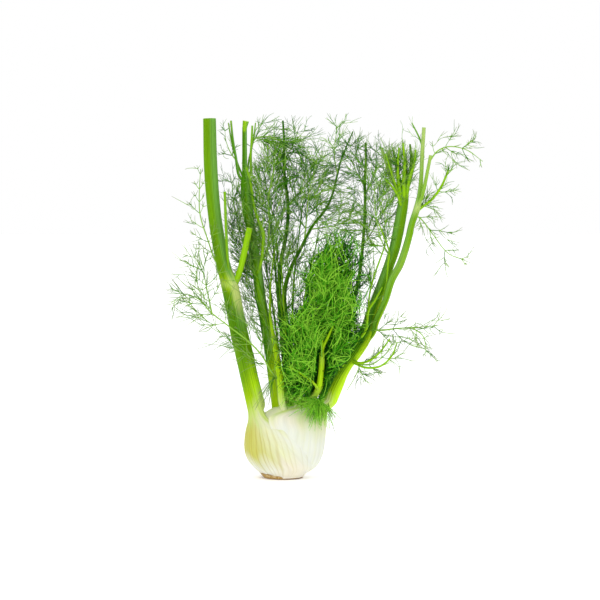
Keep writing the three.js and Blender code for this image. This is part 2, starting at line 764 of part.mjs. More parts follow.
// Grows a shoot out of a triangle of the midrib, and its needles out of its own nodes.
function growShoot(skin, base, shoot) {
  const across = skin.at(base[0]).sub(skin.centre(base));
  let low = base;
  for (const { share, centre, along, needles } of shoot.nodes) {
    const r = lerp(SHOOT_ROOT, SHOOT_TIP, share);
    const rings = [-SHOOT_PAIR, SHOOT_PAIR].map((shift) => (
      skin.ring(centre.clone().addScaledVector(along, shift), along, across, r)));
    skin.close(skin.wall(low, rings[0]));
    const wall = skin.wall(rings[0], rings[1]);
    for (const line of needles) {
      skin.spike(skin.open(wall, line[1].clone().sub(line[0])), line[2]);
    }
    skin.close(wall);
    low = rings[1];
  }
  skin.spike(low, shoot.line[2]);
}

// One midrib as a skin, with all that grows on it.
function midribSkin({ route, start, nodes }) {
  const skin = new Skin();
  const across = v(0, 1, 0);
  const ringAt = (u, shift) => {
    const direction = route.tangent(u);
    const centre = route.at(u).addScaledVector(direction, shift);
    return skin.ring(centre, direction, across, route.radius(u));
  };
  let low = ringAt(start, 0);
  let before = start;
  skin.close([[low[0], low[2], low[1]]]);
  for (const { u, shoots } of nodes) {
    const between = (before + u) / 2;
    if (u - before > 0.08) {
      const middle = ringAt(between, 0);
      skin.close(skin.wall(low, middle));
      low = middle;
    }
    const rings = [ringAt(u, -MIDRIB_PAIR), ringAt(u, MIDRIB_PAIR)];
    skin.close(skin.wall(low, rings[0]));
    const wall = skin.wall(rings[0], rings[1]);
    for (const shoot of shoots) {
      growShoot(skin, skin.open(wall, shoot.line[1].clone().sub(shoot.line[0])), shoot);
    }
    skin.close(wall);
    low = rings[1];
    before = u;
  }
  skin.spike(low, route.at(1));
  return solid(skin.geometry());
}

function frondBody(midribs) {
  const skins = midribs.map(midribSkin);
  return skins.length === 1 ? skins[0] : clean(wasm.Manifold.union(skins));
}

// Midribs [x, y, z, radius]; reach is the longest shoot. The first midrib starts inside the
// stalk that bears it and is cut back to its surface; further ones start on the first.
const FRONDS = {
  frond_left_spray: { seed: 11, reach: 30, midribs: [
    [[-3, -10, 108, 1.2], [-12, -17, 120, 1.2], [-22, -19, 137, 1.2], [-36, -20, 152, 1.2],
      [-58, -20, 169, 1.1], [-77, -20, 184, 1.0], [-90, -19, 198, 0.9], [-106, -18, 203, 0.8],
      [-121, -18, 194, 0.6]],
    [[-76, -20, 183, 0.9], [-81, -19, 206, 0.8], [-86, -18, 228, 0.7], [-96, -17, 246, 0.6]],
  ] },
  frond_left_side: { seed: 12, reach: 20, midribs: [
    [[-66, 0, 229, 1.1], [-74, -3, 242, 1.1], [-81, -4, 262, 1.0], [-89.5, -4, 290, 0.9],
      [-90.5, -3, 312, 0.8], [-89, -2, 340, 0.6]],
  ] },
  frond_second_left: { seed: 13, reach: 19, midribs: [
    [[-27, 8, 226, 1.3], [-39, 13, 246, 1.2], [-47, 15, 273, 1.1], [-53, 16, 301, 0.9],
      [-56, 16, 330, 0.7]],
  ] },
  frond_second_top: { seed: 14, reach: 15, midribs: [
    [[-50, 9, 349, 1.0], [-57, 13, 359, 0.9], [-62, 15, 372, 0.7], [-63, 15, 384, 0.6]],
  ] },
  frond_second_arch: { seed: 15, reach: 27, step: 12, midribs: [
    [[-33.6, 8, 366, 1.2], [-29, 12, 374, 1.2], [-20, 14, 376, 1.1], [-10, 14.5, 375, 1.0],
      [1, 14, 368, 0.9], [9, 14, 350, 0.8], [13, 14, 330, 0.6]],
  ] },
  frond_second_middle: { seed: 16, reach: 26, midribs: [
    [[-26, 6, 232, 1.3], [-16, 3, 252, 1.3], [-14, 2, 280, 1.2], [-15, 1, 308, 1.0],
      [-9, 0, 336, 0.9], [-7, 0, 362, 0.6]],
  ] },
  frond_back_left_low: { seed: 17, reach: 27, midribs: [
    [[3, 21, 262, 1.3], [-8, 26, 285, 1.2], [-17, 29, 315, 1.0], [-20, 29, 350, 0.7]],
  ] },
  frond_back_left_right: { seed: 18, reach: 27, midribs: [
    [[6.6, 22, 300, 1.3], [20, 26, 316, 1.1], [34, 27, 334, 0.9], [45, 27, 356, 0.6]],
  ] },
  frond_back_left_top: { seed: 19, reach: 19, midribs: [
    [[2, 23, 350, 1.1], [10, 29, 364, 1.0], [18, 31, 376, 0.8], [26, 31, 384, 0.6]],
  ] },
  frond_middle_low: { seed: 20, reach: 25, midribs: [
    [[25, 10, 264, 1.2], [27, 4, 285, 1.1], [30, 2, 315, 0.9], [39, 2, 350, 0.6]],
  ] },
  frond_middle_right: { seed: 21, reach: 20, midribs: [
    [[31, 10, 274, 1.1], [46, 5, 276, 1.0], [62, 2, 279, 0.9], [76, 2, 286, 0.6]],
  ] },
  frond_middle_top: { seed: 22, reach: 18, midribs: [
    [[61.2, 10, 335, 1.1], [58, 5, 350, 0.9], [58, 3, 368, 0.8], [61, 3, 388, 0.6]],
  ] },
  frond_right_back_left: { seed: 23, reach: 17, midribs: [
    [[91, 16, 322, 1.1], [82, 20, 338, 1.0], [77, 22, 352, 0.8], [76, 22, 368, 0.6]],
  ] },
  frond_right_back_right: { seed: 24, reach: 17, midribs: [
    [[92, 16, 314, 1.1], [101, 20, 330, 0.9], [104, 21, 346, 0.8], [104, 21, 362, 0.6]],
  ] },
  frond_right_back_low: { seed: 25, reach: 21, midribs: [
    [[89, 16, 256, 1.1], [99, 19, 270, 1.0], [108, 20, 290, 0.8], [112, 20, 315, 0.6]],
  ] },
  frond_right_inner: { seed: 26, reach: 20, midribs: [
    [[120, 0, 242, 1.1], [109, -6, 262, 1.0], [103, -9, 287, 0.9], [101, -9, 312, 0.8],
      [103, -9, 332, 0.6]],
  ] },
  frond_tip_long: { seed: 27, reach: 20, midribs: [
    [[160.5, -17, 348, 1.0], [169, -15, 359, 0.9], [181, -13, 364, 0.8], [200, -11, 361, 0.7],
      [219, -10, 348, 0.5]],
  ] },
  frond_tip_upright: { seed: 28, reach: 16, midribs: [
    [[148, -9, 297, 1.1], [163, -5, 306, 1.0], [174, -3, 320, 0.8], [182, -2, 340, 0.6]],
  ] },
  frond_tip_hanging: { seed: 29, reach: 21, midribs: [
    [[145, -10, 290, 1.0], [152, -15, 285, 0.9], [164, -19, 269, 0.8], [181, -20, 248, 0.7],
      [198, -20, 241, 0.5]],
  ] },
  frond_right_spray_high: { seed: 30, reach: 21, midribs: [
    [[97, -4, 164, 1.2], [110, -12, 164, 1.1], [125, -15, 166, 1.0], [143, -15, 167, 0.9],
      [170, -14, 169, 0.6]],
    [[142, -15, 167, 0.8], [154, -15, 158, 0.7], [158, -14, 140, 0.5]],
  ] },
  frond_right_spray_low: { seed: 31, reach: 20, midribs: [
    [[76, -3, 134, 1.2], [86, -12, 127, 1.1], [98, -16, 127, 1.0], [112, -17, 137, 0.8],
      [124, -17, 154, 0.6]],
    [[86, -12, 127, 0.8], [80, -15, 113, 0.7], [71, -16, 98, 0.5]],
  ] },
  frond_young_left: { seed: 32, reach: 24, bright: true, step: 15, midribs: [
    [[25.5, -19.5, 122, 1.2], [24, -25, 132, 1.1], [21.5, -26, 152, 1.1], [22, -25, 175, 1.0],
      [26, -24, 205, 0.8],
      [36, -24, 233, 0.6]],
  ] },
  frond_young_middle: { seed: 33, reach: 25, bright: true, step: 15, midribs: [
    [[44, -22.5, 131, 1.2], [43, -29, 142, 1.1], [43, -30, 165, 1.1], [46, -29, 191, 1.0],
      [52, -28, 220, 0.9],
      [60, -28, 247, 0.8], [64, -28, 266, 0.6]],
  ] },
  frond_young_right: { seed: 34, reach: 23, bright: true, step: 15, midribs: [
    [[56, -17.3, 155, 1.2], [61, -22, 165, 1.1], [65, -22, 180, 1.0], [70, -21, 198, 0.9],
      [76, -20, 218, 0.8],
      [80, -19, 240, 0.6]],
  ] },
  frond_young_side: { seed: 35, reach: 18, bright: true, midribs: [
    [[43.5, -22.5, 134, 1.2], [54, -29, 146, 1.0], [66, -31, 157, 0.9], [78, -30, 170, 0.6]],
  ] },
  frond_young_low: { seed: 36, reach: 20, bright: true, midribs: [
    [[40, -19.5, 100, 1.1], [30, -30, 112, 1.0], [16, -33, 121, 0.8], [2, -32, 128, 0.6]],
  ] },
};

// Every midrib has its place before the first shoot is tried.
for (const [name, spec] of Object.entries(FRONDS)) {
  for (const points of spec.midribs) {
    taken.push(...new Route(points).capsules(name));
  }
}
const grownFronds = Object.entries(FRONDS).map(([name, spec]) => (
  { name, finish: spec.bright ? 'frond_young' : 'frond', plan: planFrond(spec, name) }));

// ---------------------------------------------------------------- the object
const MATERIALS = {
  root_plate: { color: 0xb0883c, roughness: 0.85 },
  leaf_left: { color: 0x9cc23c, roughness: 0.42 },
  leaf_right: { color: 0xa6cc48, roughness: 0.42 },
  leaf_second: { color: 0x4b8c1c, roughness: 0.45 },
  heart: { color: 0xb9d468, roughness: 0.45 },
  frond: { color: 0x3a7322, roughness: 0.55 },
  frond_young: { color: 0x4caf1a, roughness: 0.5 },
};

const fennel = new THREE.Group();

function addPiece(name, body, finish) {
  const material = new THREE.MeshStandardMaterial({ ...MATERIALS[finish], metalness: 0 });
  const mesh = new THREE.Mesh(geometryOf(body), material);
  mesh.name = name;
  fennel.add(mesh);
}

addPiece('root_plate', rootPlate(), 'root_plate');
addPiece('leaf_left', withBranches(leaf(leftLeaf), leftBranches), 'leaf_left');
addPiece('leaf_right', withBranches(leafRight, rightBranches), 'leaf_right');
addPiece('leaf_second', withBranches(leafSecond, secondBranches), 'leaf_second');
addPiece('heart', heartBody(), 'heart');
for (const { name, finish, plan } of grownFronds) {
  addPiece(name, frondBody(plan), finish);
}

export default fennel;
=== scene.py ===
"""Florence fennel, freshly cut: the white bulb of wrapped leaf bases stands on its cut root
plate, with ribbed green stalks and thread-like fronds. Routes and tables are millimetres."""
import math

import bmesh
import bpy
import numpy as np
from bpy.props import FloatProperty, FloatVectorProperty, IntProperty, PointerProperty
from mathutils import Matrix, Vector, noise


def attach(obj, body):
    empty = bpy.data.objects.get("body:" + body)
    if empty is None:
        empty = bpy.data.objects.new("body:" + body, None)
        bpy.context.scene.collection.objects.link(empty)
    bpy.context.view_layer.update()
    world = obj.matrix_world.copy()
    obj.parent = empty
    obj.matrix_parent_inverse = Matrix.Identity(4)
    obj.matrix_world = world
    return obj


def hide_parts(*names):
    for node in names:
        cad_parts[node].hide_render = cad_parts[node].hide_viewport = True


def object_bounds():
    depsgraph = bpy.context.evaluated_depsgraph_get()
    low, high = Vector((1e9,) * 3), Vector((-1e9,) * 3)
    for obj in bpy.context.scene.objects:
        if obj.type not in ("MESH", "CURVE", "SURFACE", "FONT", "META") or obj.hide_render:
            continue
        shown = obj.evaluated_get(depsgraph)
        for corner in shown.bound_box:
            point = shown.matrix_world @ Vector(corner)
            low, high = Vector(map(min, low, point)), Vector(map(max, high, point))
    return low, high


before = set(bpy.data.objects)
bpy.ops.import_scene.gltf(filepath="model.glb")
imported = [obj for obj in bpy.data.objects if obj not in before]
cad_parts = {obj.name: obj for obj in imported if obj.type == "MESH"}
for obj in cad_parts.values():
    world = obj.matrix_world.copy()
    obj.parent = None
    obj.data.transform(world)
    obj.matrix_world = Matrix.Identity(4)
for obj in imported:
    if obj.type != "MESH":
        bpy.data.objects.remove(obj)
cad_low, cad_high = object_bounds()

bl_info = {
    "name": "Florence fennel",
    "version": (1, 0, 0),
    "blender": (4, 5, 0),
    "location": "3D View > Sidebar > Fennel",
    "description": "Builds a Florence fennel bulb with stalks and fronds on a studio floor",
    "category": "Add Mesh",
}

MM = 0.001
# The height at which the colour ramps end, just above the tallest stalk.
STALK_TOP = 400.0

# ------------------------------------------------------------------ the bulb's tables
# Height, left edge, right edge and half depth of the bulb, from foot to shoulder.
BULB = [
    [1.2, -20.8, 23.4, 17.9],
    [4.9, -23.5, 27.0, 19.0],
    [11.5, -31.0, 37.0, 26.0],
    [21.7, -38.4, 43.6, 31.0],
    [33.5, -41.2, 46.8, 33.5],
    [47.9, -40.4, 48.5, 32.0],
    [62.0, -38.0, 49.6, 27.5],
    [72.0, -37.8, 50.0, 22.0],
    [84.0, -37.0, 50.0, 14.0],
]
FOOT = 1.3  # the height at which the sheaths begin
# Height, left edge, right edge and half depth of the heart's domed top.
HEART_DOME = [
    [34.0, -37.0, 43.0, 30.0],
    [48.0, -37.0, 45.0, 29.0],
    [62.0, -30.0, 44.0, 24.0],
    [70.0, -22.0, 39.0, 19.0],
    [76.5, -12.0, 35.0, 14.0],
    [80.5, -2.0, 31.0, 9.0],
    [82.5, 6.0, 26.0, 4.0],
]
# Front margin of the left sheath: height and the angle round the bulb from its left side.
LEFT_MARGIN = [[4.9, 152], [11.5, 150], [20, 136], [37, 113], [50, 95], [60, 79], [68, 64],
               [84, 50]]
BACK_MARGIN_SHARE = 0.9  # how far the same margin goes round the back, against the front


def smooth(value, low, high):
    """0 below low, 1 above high and a smooth rise between them."""
    t = np.clip((value - low) / (high - low), 0, 1)
    return t * t * (3 - 2 * t)


def unit(v):
    return v / math.sqrt(v[0] * v[0] + v[1] * v[1] + v[2] * v[2])


def row_at(table, key):
    """A row of a table between its written rows; the first column is the key."""
    i = 0
    while i < len(table) - 2 and key > table[i + 1][0]:
        i += 1
    a, b = np.array(table[i], float), np.array(table[i + 1], float)
    before = np.array(table[max(i - 1, 0)], float)
    after = np.array(table[min(i + 2, len(table) - 1)], float)
    width = b[0] - a[0]
    t = min(max((key - a[0]) / width, 0), 1)
    slope_a = (b - before) / (b[0] - before[0])
    slope_b = (after - a) / (after[0] - a[0])
    return ((2 * t**3 - 3 * t**2 + 1) * a + (t**3 - 2 * t**2 + t) * width * slope_a
            + (3 * t**2 - 2 * t**3) * b + (t**3 - t**2) * width * slope_b)


def bulb_at(z):
    """Centre, half width and half depth of the bulb at a height."""
    _, left, right, depth = row_at(BULB, z)
    return (left + right) / 2, (right - left) / 2, depth


# ------------------------------------------------------------------ routes
class Route:
    """A stalk's route: points [x, y, z, radius], joined by a smooth curve."""

    def __init__(self, points):
        self.points = np.array(points, float)
        self.last = len(points) - 1
        p = self.points[:, :3]
        p = np.vstack([p[0] - p[1] + p[0], p, p[-1] - p[-2] + p[-1]])
        self.spans = []
        for a, b, c, d in zip(p, p[1:], p[2:], p[3:]):
            d0, d1, d2 = (float(((q - o) ** 2).sum()) ** 0.25
                          for o, q in ((a, b), (b, c), (c, d)))
            t1 = ((b - a) / d0 - (c - a) / (d0 + d1) + (c - b) / d1) * d1
            t2 = ((c - b) / d1 - (d - b) / (d1 + d2) + (d - c) / d2) * d1
            self.spans.append((b, t1, -3 * b + 3 * c - 2 * t1 - t2, 2 * b - 2 * c + t1 + t2))

    def at(self, u):
        place = self.last * u
        i = min(math.floor(place), self.last - 1)
        t = place - i
        c0, c1, c2, c3 = self.spans[i]
        return c0 + c1 * t + c2 * (t * t) + c3 * (t * t * t)

    def tangent(self, u):
        return unit(self.at(min(u + 0.0001, 1)) - self.at(max(u - 0.0001, 0)))

    def radius(self, u):
        place = min(max(u, 0), 1) * self.last
        i = min(math.floor(place), self.last - 1)
        t = place - i
        return (1 - t) * self.points[i][3] + t * self.points[i + 1][3]

    def length(self):
        p = np.array([self.at(k / 200) for k in range(201)])
        return float(np.sqrt(((p[1:] - p[:-1]) ** 2).sum(1)).sum())

    def at_height(self, z):
        low, high = 0.0, 1.0
        for _ in range(30):
            middle = (low + high) / 2
            if self.at(middle)[2] < z:
                low = middle
            else:
                high = middle
        return low

    def capsules(self):
        """The route as short straight pieces with a radius."""
        steps = self.last * 2
        return [(self.at(i / steps), self.at((i + 1) / steps),
                 max(self.radius(i / steps), self.radius((i + 1) / steps)))
                for i in range(steps)]


# ------------------------------------------------------------------ the leaves' tables
# Height, and degrees round the bulb from one rib of the left sheath to the next. The rib at
# RIB_STRAIGHT degrees runs straight down, as number RIB_COUNTED.
RIB_FAN = [[4, 9.6], [20, 8.8], [42, 8.0], [58, 6.7], [70, 6.0]]
RIB_STRAIGHT = 8.0
RIB_COUNTED = 11.4
# A leaf's side; how many points of its solid's ring lie outside and inside; its ribs and their
# height; how far its sheath lies inside the bulb's outline and how thick it is, from thin at
# the margins to thick within thin_from degrees of its side; the heights between which it
# closes to a stalk; and its margins in degrees, in front and behind, by height.
LEFT_LEAF = dict(
    side=-1, outer=25, inner=13, joints=[(214, 3.5, 0.3)], ribs=21, rib_height=0.62,
    inset=0, thin=1.1, thick=5.6, thin_from=82, closes=(55, 82), fan=RIB_FAN,
    front=lambda z: row_at(LEFT_MARGIN, z)[1],
    back=lambda z: row_at(LEFT_MARGIN, z)[1] * BACK_MARGIN_SHARE,
    route=Route([
        [-23.0, 0, 54.0, 11.8], [-26.2, 0, 70.4, 11.0], [-30.0, 0, 85.6, 10.2],
        [-36.0, 0, 110.8, 9.8], [-41.4, -0.5, 136.1, 10.0], [-47.4, -1, 161.4, 9.8],
        [-52.1, -1, 186.6, 9.5], [-57.9, -1, 214.4, 9.6], [-62.5, -1, 228.2, 7.9],
        [-67.9, -1, 252.2, 7.6], [-73.9, 0, 290.1, 7.3], [-78.0, 1, 340.6, 7.5],
        [-79.2, 1, 394.9, 7.1]]),
)
RIGHT_LEAF = dict(
    side=1, outer=17, inner=9, ribs=17, rib_height=0.1, inset=0.2, thin=4.6, thick=7.2,
    thin_from=85, closes=(69, 87), swell=[(103, 20, 3.6), (150, 22, 2.4)],
    front=lambda z: 112 + 6 * smooth(z, 55, 66), back=lambda z: 96,
    route=Route([
        [37.5, 0, 52.0, 13.0], [43.0, 0, 72.0, 11.2], [48.0, 0, 81.9, 9.8],
        [53.9, 0, 99.6, 8.9], [62.7, 0, 116.1, 7.8], [75.9, 0, 134.8, 7.7],
        [88.3, 0, 154.6, 7.4], [94.6, 0, 166.7, 7.3], [99.0, 0, 183.2, 6.5],
        [107.8, 0, 207.4, 5.9], [117.7, 0, 234.9, 5.7], [123.8, 0, 253.8, 6.0],
        [128.9, 0, 279.1, 6.2], [133.0, 0, 304.4, 5.8], [134.0, 0, 317.6, 5.6],
        [138.6, 1, 328.4, 4.0], [141.9, 1, 339.4, 2.4], [141.8, 1, 351.5, 1.6],
        [140.3, 1, 366.9, 1.1]]),
)
SECOND_LEAF = dict(
    side=-1, outer=9, inner=7, ribs=11, rib_height=0.15, inset=1.9, thin=3.4, thick=10.5,
    thin_from=80, closes=(44, 74),
    front=lambda z: 74, back=lambda z: 70,
    route=Route([
        [-4.0, 3, 46.0, 10.0], [-2.2, 4, 73.2, 9.3], [-3.9, 5, 86.4, 8.5],
        [-7.7, 6, 108.4, 7.8], [-12.7, 7, 136.1, 6.2], [-17.4, 8, 161.4, 5.7],
        [-20.4, 8, 179.9, 5.5], [-24.2, 8, 201.1, 6.1], [-26.4, 8, 222.2, 5.4],
        [-31.1, 8, 257.3, 4.7], [-36.3, 8, 285.5, 5.6], [-38.8, 8, 307.1, 6.5],
        [-39.6, 8, 327.3, 6.2], [-40.8, 8, 335.0, 3.0], [-41.1, 8, 360.0, 2.7],
        [-41.1, 8, 386.0, 2.6]]),
)
# Side stems: route and how bright their green is, from 0 to 1.
LEFT_BRANCHES = [
    ([[-53, -2, 210, 3.2], [-46.2, -5, 228.3, 3.5], [-40.4, -6, 252, 3.7],
      [-35.3, -6, 275.6, 3.6]], 1.0),
    ([[-58, -5, 226, 1.4], [-59.4, -9.5, 245, 1.6], [-61, -10.5, 278.9, 1.6],
      [-62.2, -10, 315.2, 1.5]], 0.35),
]
RIGHT_BRANCHES = [
    ([[99, -2, 160, 4.0], [103.5, -8, 174, 3.7], [113.3, -11, 196.4, 3.6],
      [119.9, -12, 218.4, 4.0], [129.6, -11, 237, 4.2], [138.6, -11, 265.7, 3.9],
      [141.6, -10, 279.1, 3.7], [148, -9, 298.9, 3.9], [150.6, -8, 312.7, 2.8],
      [152.2, -7, 332, 2.3], [153.3, -7, 360, 2.3], [154.9, -7, 384.9, 2.1]], 0.2),
    ([[149, -10, 300, 2.2], [153.3, -14, 312.7, 2.1], [158.7, -17, 339.8, 1.9],
      [161.5, -17, 354.4, 1.8]], 0.4),
    ([[132, -1, 312, 1.9], [124.7, -3, 320, 1.8], [117.8, -5, 333, 1.5],
      [114, -5, 345.2, 1.3], [109.3, -5, 362.1, 1.1]], 0.1),
    ([[131, 1, 314, 1.9], [122, 6, 328.4, 1.7], [119.4, 8, 343.6, 1.5],
      [117, 8, 359.8, 1.2]], 0.0),
]
SECOND_BRANCHES = [
    ([[-41, 8, 326, 1.8], [-47.1, 8, 332.8, 1.7], [-50.8, 9, 352.8, 1.5],
      [-54.2, 9, 373.8, 1.3], [-56.1, 9, 393.3, 1.1]], 0.0),
    ([[-38, 8, 328, 1.7], [-34.7, 8, 335.2, 1.6], [-34.3, 8, 356.3, 1.4],
      [-33.2, 8, 373.8, 1.3], [-32.6, 8, 387.8, 1.1]], 0.5),
    ([[-26.4, 4, 226, 1.8], [-22.8, -1, 239, 1.9], [-20.6, -2, 257.3, 1.9],
      [-20.6, -2, 269.2, 2.6], [-24.9, -2, 281.8, 1.7], [-30, -2, 297, 1.6],
      [-34.7, -2, 328.1, 1.5], [-39.0, -2, 342.2, 1.4]], 0.6),
]
# The fifth of these, the young fronds' pale stem, stands out in front of them.
HEART_STALKS = [
    ([[6, -10, 64, 3.7], [5, -10.3, 71, 3.8], [2, -11, 78, 4.1], [0, -11, 86, 4.4],
      [-1.7, -10, 109.1, 4.2], [-4.6, -9, 128, 3.9], [-7.9, -8, 147.7, 3.1],
      [-10.8, -6, 165.2, 2.4], [-12.9, -5, 181, 1.9], [-12.9, -5, 203, 1.5],
      [-11.4, -4, 226, 1.3], [-7.3, -4, 253.8, 1.1], [-4.5, -4, 267, 0.9]], 0.85),
    ([[10, 10, 64, 4.2], [9.5, 11.5, 72, 4.1], [8.5, 14, 84, 4.0], [5, 15, 110, 3.8],
      [1.1, 17, 152.4, 3.7], [-3.1, 19, 207.4, 3.6], [-1.1, 20, 239.7, 3.4],
      [4.6, 21, 267.9, 3.2], [6.6, 22, 299.8, 2.8], [2.2, 23, 339.4, 2.4],
      [1.9, 23, 377.3, 1.9], [0.8, 23, 394.1, 1.6]], 0.0),
    ([[15, 7, 66, 4.2], [14, 7.5, 86.4, 4.0], [6.6, 9, 152.4, 3.7], [2.2, 9, 199, 3.6],
      [4.6, 9, 215.2, 3.4], [9.6, 9, 230.6, 3.2], [20.1, 10, 251.7, 2.8],
      [33.9, 10, 278.3, 2.4], [47.9, 10, 295.9, 2.1], [54.9, 10, 310.6, 1.9],
      [61.2, 10, 335.2, 1.7], [65.5, 10, 351.3, 1.4], [78, 10, 381.5, 1.1]], 0.1),
    ([[18.5, 6.5, 66, 4.2], [19.5, 7.5, 76, 4.1], [26, 11, 84, 4.0], [37, 15, 98, 3.9],
      [63.8, 16, 152.4, 3.4], [77, 16, 185.4, 3.1], [85.4, 16, 222.2, 2.9],
      [90, 16, 264.2, 2.6], [91.9, 16, 307.1, 2.4], [91.3, 16, 324.7, 2.6],
      [92.4, 16, 345.7, 2.3], [92.4, 16, 369.6, 1.8]], 0.15),
    ([[17, -4, 68, 3.6], [17.5, -5, 76, 3.4], [23, -9, 82, 3.3], [34, -16, 90, 3.2],
      [40, -20, 102, 2.9], [43, -22, 122, 2.8], [44, -23, 140, 3.0]], 1.0),
    ([[32, -14.5, 88, 2.4], [42, -16, 100, 2.3], [49.5, -17, 123, 2.0],
      [58, -17.5, 163, 1.5]], 0.8),
    ([[12, -7, 72, 2.2], [14, -9, 80, 2.1], [19, -14, 92, 1.9], [23, -18, 108, 1.6],
      [26, -20, 130, 1.3]], 0.9),
]
YOUNG_STEM = 4
# Where the right leaf's stems and the young stem are paler: height, half height, amount.
RIGHT_JOINTS = [(238, 20, 0.1), (298, 7, 0.55), (385, 55, 0.5)]
YOUNG_JOINTS = [(133, 6, 0.12)]
# The thick side stem starts well inside the right stalk.
RIGHT_STEM_ROOT = [81, -1, 138, 2.6]
# Thin petioles that only the finished heart has, rising in a fan behind the young fronds.
HEART_PETIOLES = [
    ([[2, 4, 78, 1.6], [-3, 6, 130, 1.3], [-12, 8, 200, 1.1], [-25, 14, 268, 0.7]], 0.1),
    ([[5, 5, 78, 1.5], [0, 8, 140, 1.3], [-6, 12, 210, 1.1], [-13, 16, 292, 0.7]], 0.0),
    ([[8, 3, 78, 1.4], [4, 3, 140, 1.2], [-2, 4, 200, 1.0], [-6, 6, 262, 0.6]], 0.3),
    ([[12, 4, 78, 1.5], [11, 4, 150, 1.3], [13, 6, 216, 1.1], [22, 8, 296, 0.7]], 0.1),
    ([[14, 2, 78, 1.3], [17, 0, 140, 1.2], [26, -2, 205, 1.0], [40, 0, 268, 0.6]], 0.3),
    ([[16, 5, 78, 1.4], [20, 6, 145, 1.2], [34, 6, 210, 1.0], [54, 6, 270, 0.7]], 0.15),
    ([[0, 1, 78, 1.3], [-7, 0, 128, 1.2], [-17, 1, 180, 1.0], [-30, 4, 236, 0.7]], 0.2),
    ([[6, -2, 80, 1.2], [6, -4, 130, 1.1], [2, -5, 190, 0.9], [-1, -4, 246, 0.6]], 0.55),
]
# The two arms in which the young fronds' pale stem ends, and the stem at its left.
YOUNG_ARMS = [
    ([[43.5, -22.5, 132, 2.4], [44.5, -26, 145, 1.9], [50, -33, 158, 1.5],
      [57, -36, 174, 0.9]], 0.7),
    ([[43.5, -22.5, 134, 1.9], [43.5, -28, 148, 1.2], [44.5, -33, 162, 1.0],
      [44, -35, 178, 0.7]], 0.7),
    ([[41, -19.5, 98, 1.7], [34, -29, 108, 1.4], [22, -35, 118, 1.2],
      [8, -35, 126, 0.8]], 0.7),
]
# The fronds whose threads the heart's thin petioles bear, in the petioles' order.
PETIOLE_FRONDS = ["frond_second_middle", "frond_back_left_low", "frond_second_middle",
                  "frond_middle_low", "frond_middle_low", "frond_middle_right",
                  "frond_second_left", "frond_second_middle"]
# Thin petioles that only the finished right leaf has: first the crown in which its stalk
# ends, then those lying in front of the stalk.
RIGHT_CROWN = [
    ([[131, -2, 306, 2.3], [127, -6, 328, 1.9], [126.5, -7, 345, 1.5], [128, -7, 363, 1.0]], 0.9),
    ([[134, -3, 306, 2.4], [133, -7, 328, 2.0], [134, -8, 348, 1.6], [132, -8, 368, 1.0]], 1.0),
    ([[136, -2, 306, 2.3], [139, -6, 328, 1.8], [144, -7, 345, 1.4], [146, -7, 361, 0.9]], 0.8),
    ([[133, 3, 308, 1.9], [130, 7, 328, 1.6], [124, 8, 350, 1.2], [122, 8, 364, 0.8]], 0.3),
    ([[134, 4, 308, 1.9], [137, 8, 333, 1.5], [136, 9, 357, 1.0]], 0.5),
    ([[131, -3, 298, 1.7], [126, -9, 312, 1.4], [119, -11, 322, 1.1],
      [112, -11, 329, 0.7]], 0.8),
    ([[132, -3, 302, 1.7], [124, -8, 322, 1.3], [118, -10, 340, 1.0], [113, -10, 356, 0.7]], 0.7),
]
RIGHT_PETIOLES = [
    ([[74, -4, 132, 1.5], [84, -12, 128, 1.4], [96, -15, 131, 1.3], [107, -16, 140, 1.1],
      [118, -16, 155, 0.8]], 1.0),
    ([[78, -8, 128, 1.3], [92, -14, 123, 1.3], [108, -16, 125, 1.1], [120, -16, 136, 1.0],
      [126, -16, 151, 0.7]], 0.9),
    ([[66, -9, 124, 1.2], [78.1, -14, 146.9, 1.6], [91.2, -15, 163.5, 1.6],
      [94.6, -13, 185.4, 1.4], [102.3, -11, 197.5, 1.2], [109.8, -8, 210.7, 0.8]], 0.9),
    ([[112, -4, 206, 1.1], [114.5, -8, 215.1, 1.1], [115.9, -10, 236.2, 1.1],
      [117.4, -9, 248.8, 1.0], [111, -8, 267.9, 0.9], [106, -7, 280.4, 0.7]], 0.75),
    ([[94.5, -12, 183, 0.9], [95.5, -12, 201, 1.0], [100.4, -12, 222.2, 1.0],
      [105.4, -10, 236.2, 1.0], [113.1, -8, 257.3, 0.8]], 0.6),
    ([[148, -9, 294, 1.5], [155, -7, 300, 1.5], [163, -5, 306, 1.5], [174, -3, 320, 1.4],
      [182, -2, 338, 1.1]], 0.9),
    ([[154.5, -7, 352, 1.3], [152.5, -6, 367, 1.1], [148, -6, 378, 0.9],
      [141.7, -6, 390, 0.7]], 0.0),
]
# What only the finished second leaf has: the pale hook at its top and two side stems.
SECOND_PETIOLES = [
    ([[-41.1, 8, 378, 1.8], [-40.8, 7, 386, 2.7], [-39.6, 6, 392.5, 3.6]], 0.8),
    ([[-42, 9, 330, 1.4], [-48.5, 10, 345, 1.1], [-55, 10, 368, 0.9], [-59, 10, 391, 0.7]], 0.1),
    ([[-38, 9, 332, 1.3], [-36.5, 10, 350, 1.0], [-31.5, 9, 372, 0.9], [-29, 8, 391, 0.7]], 0.2),
]

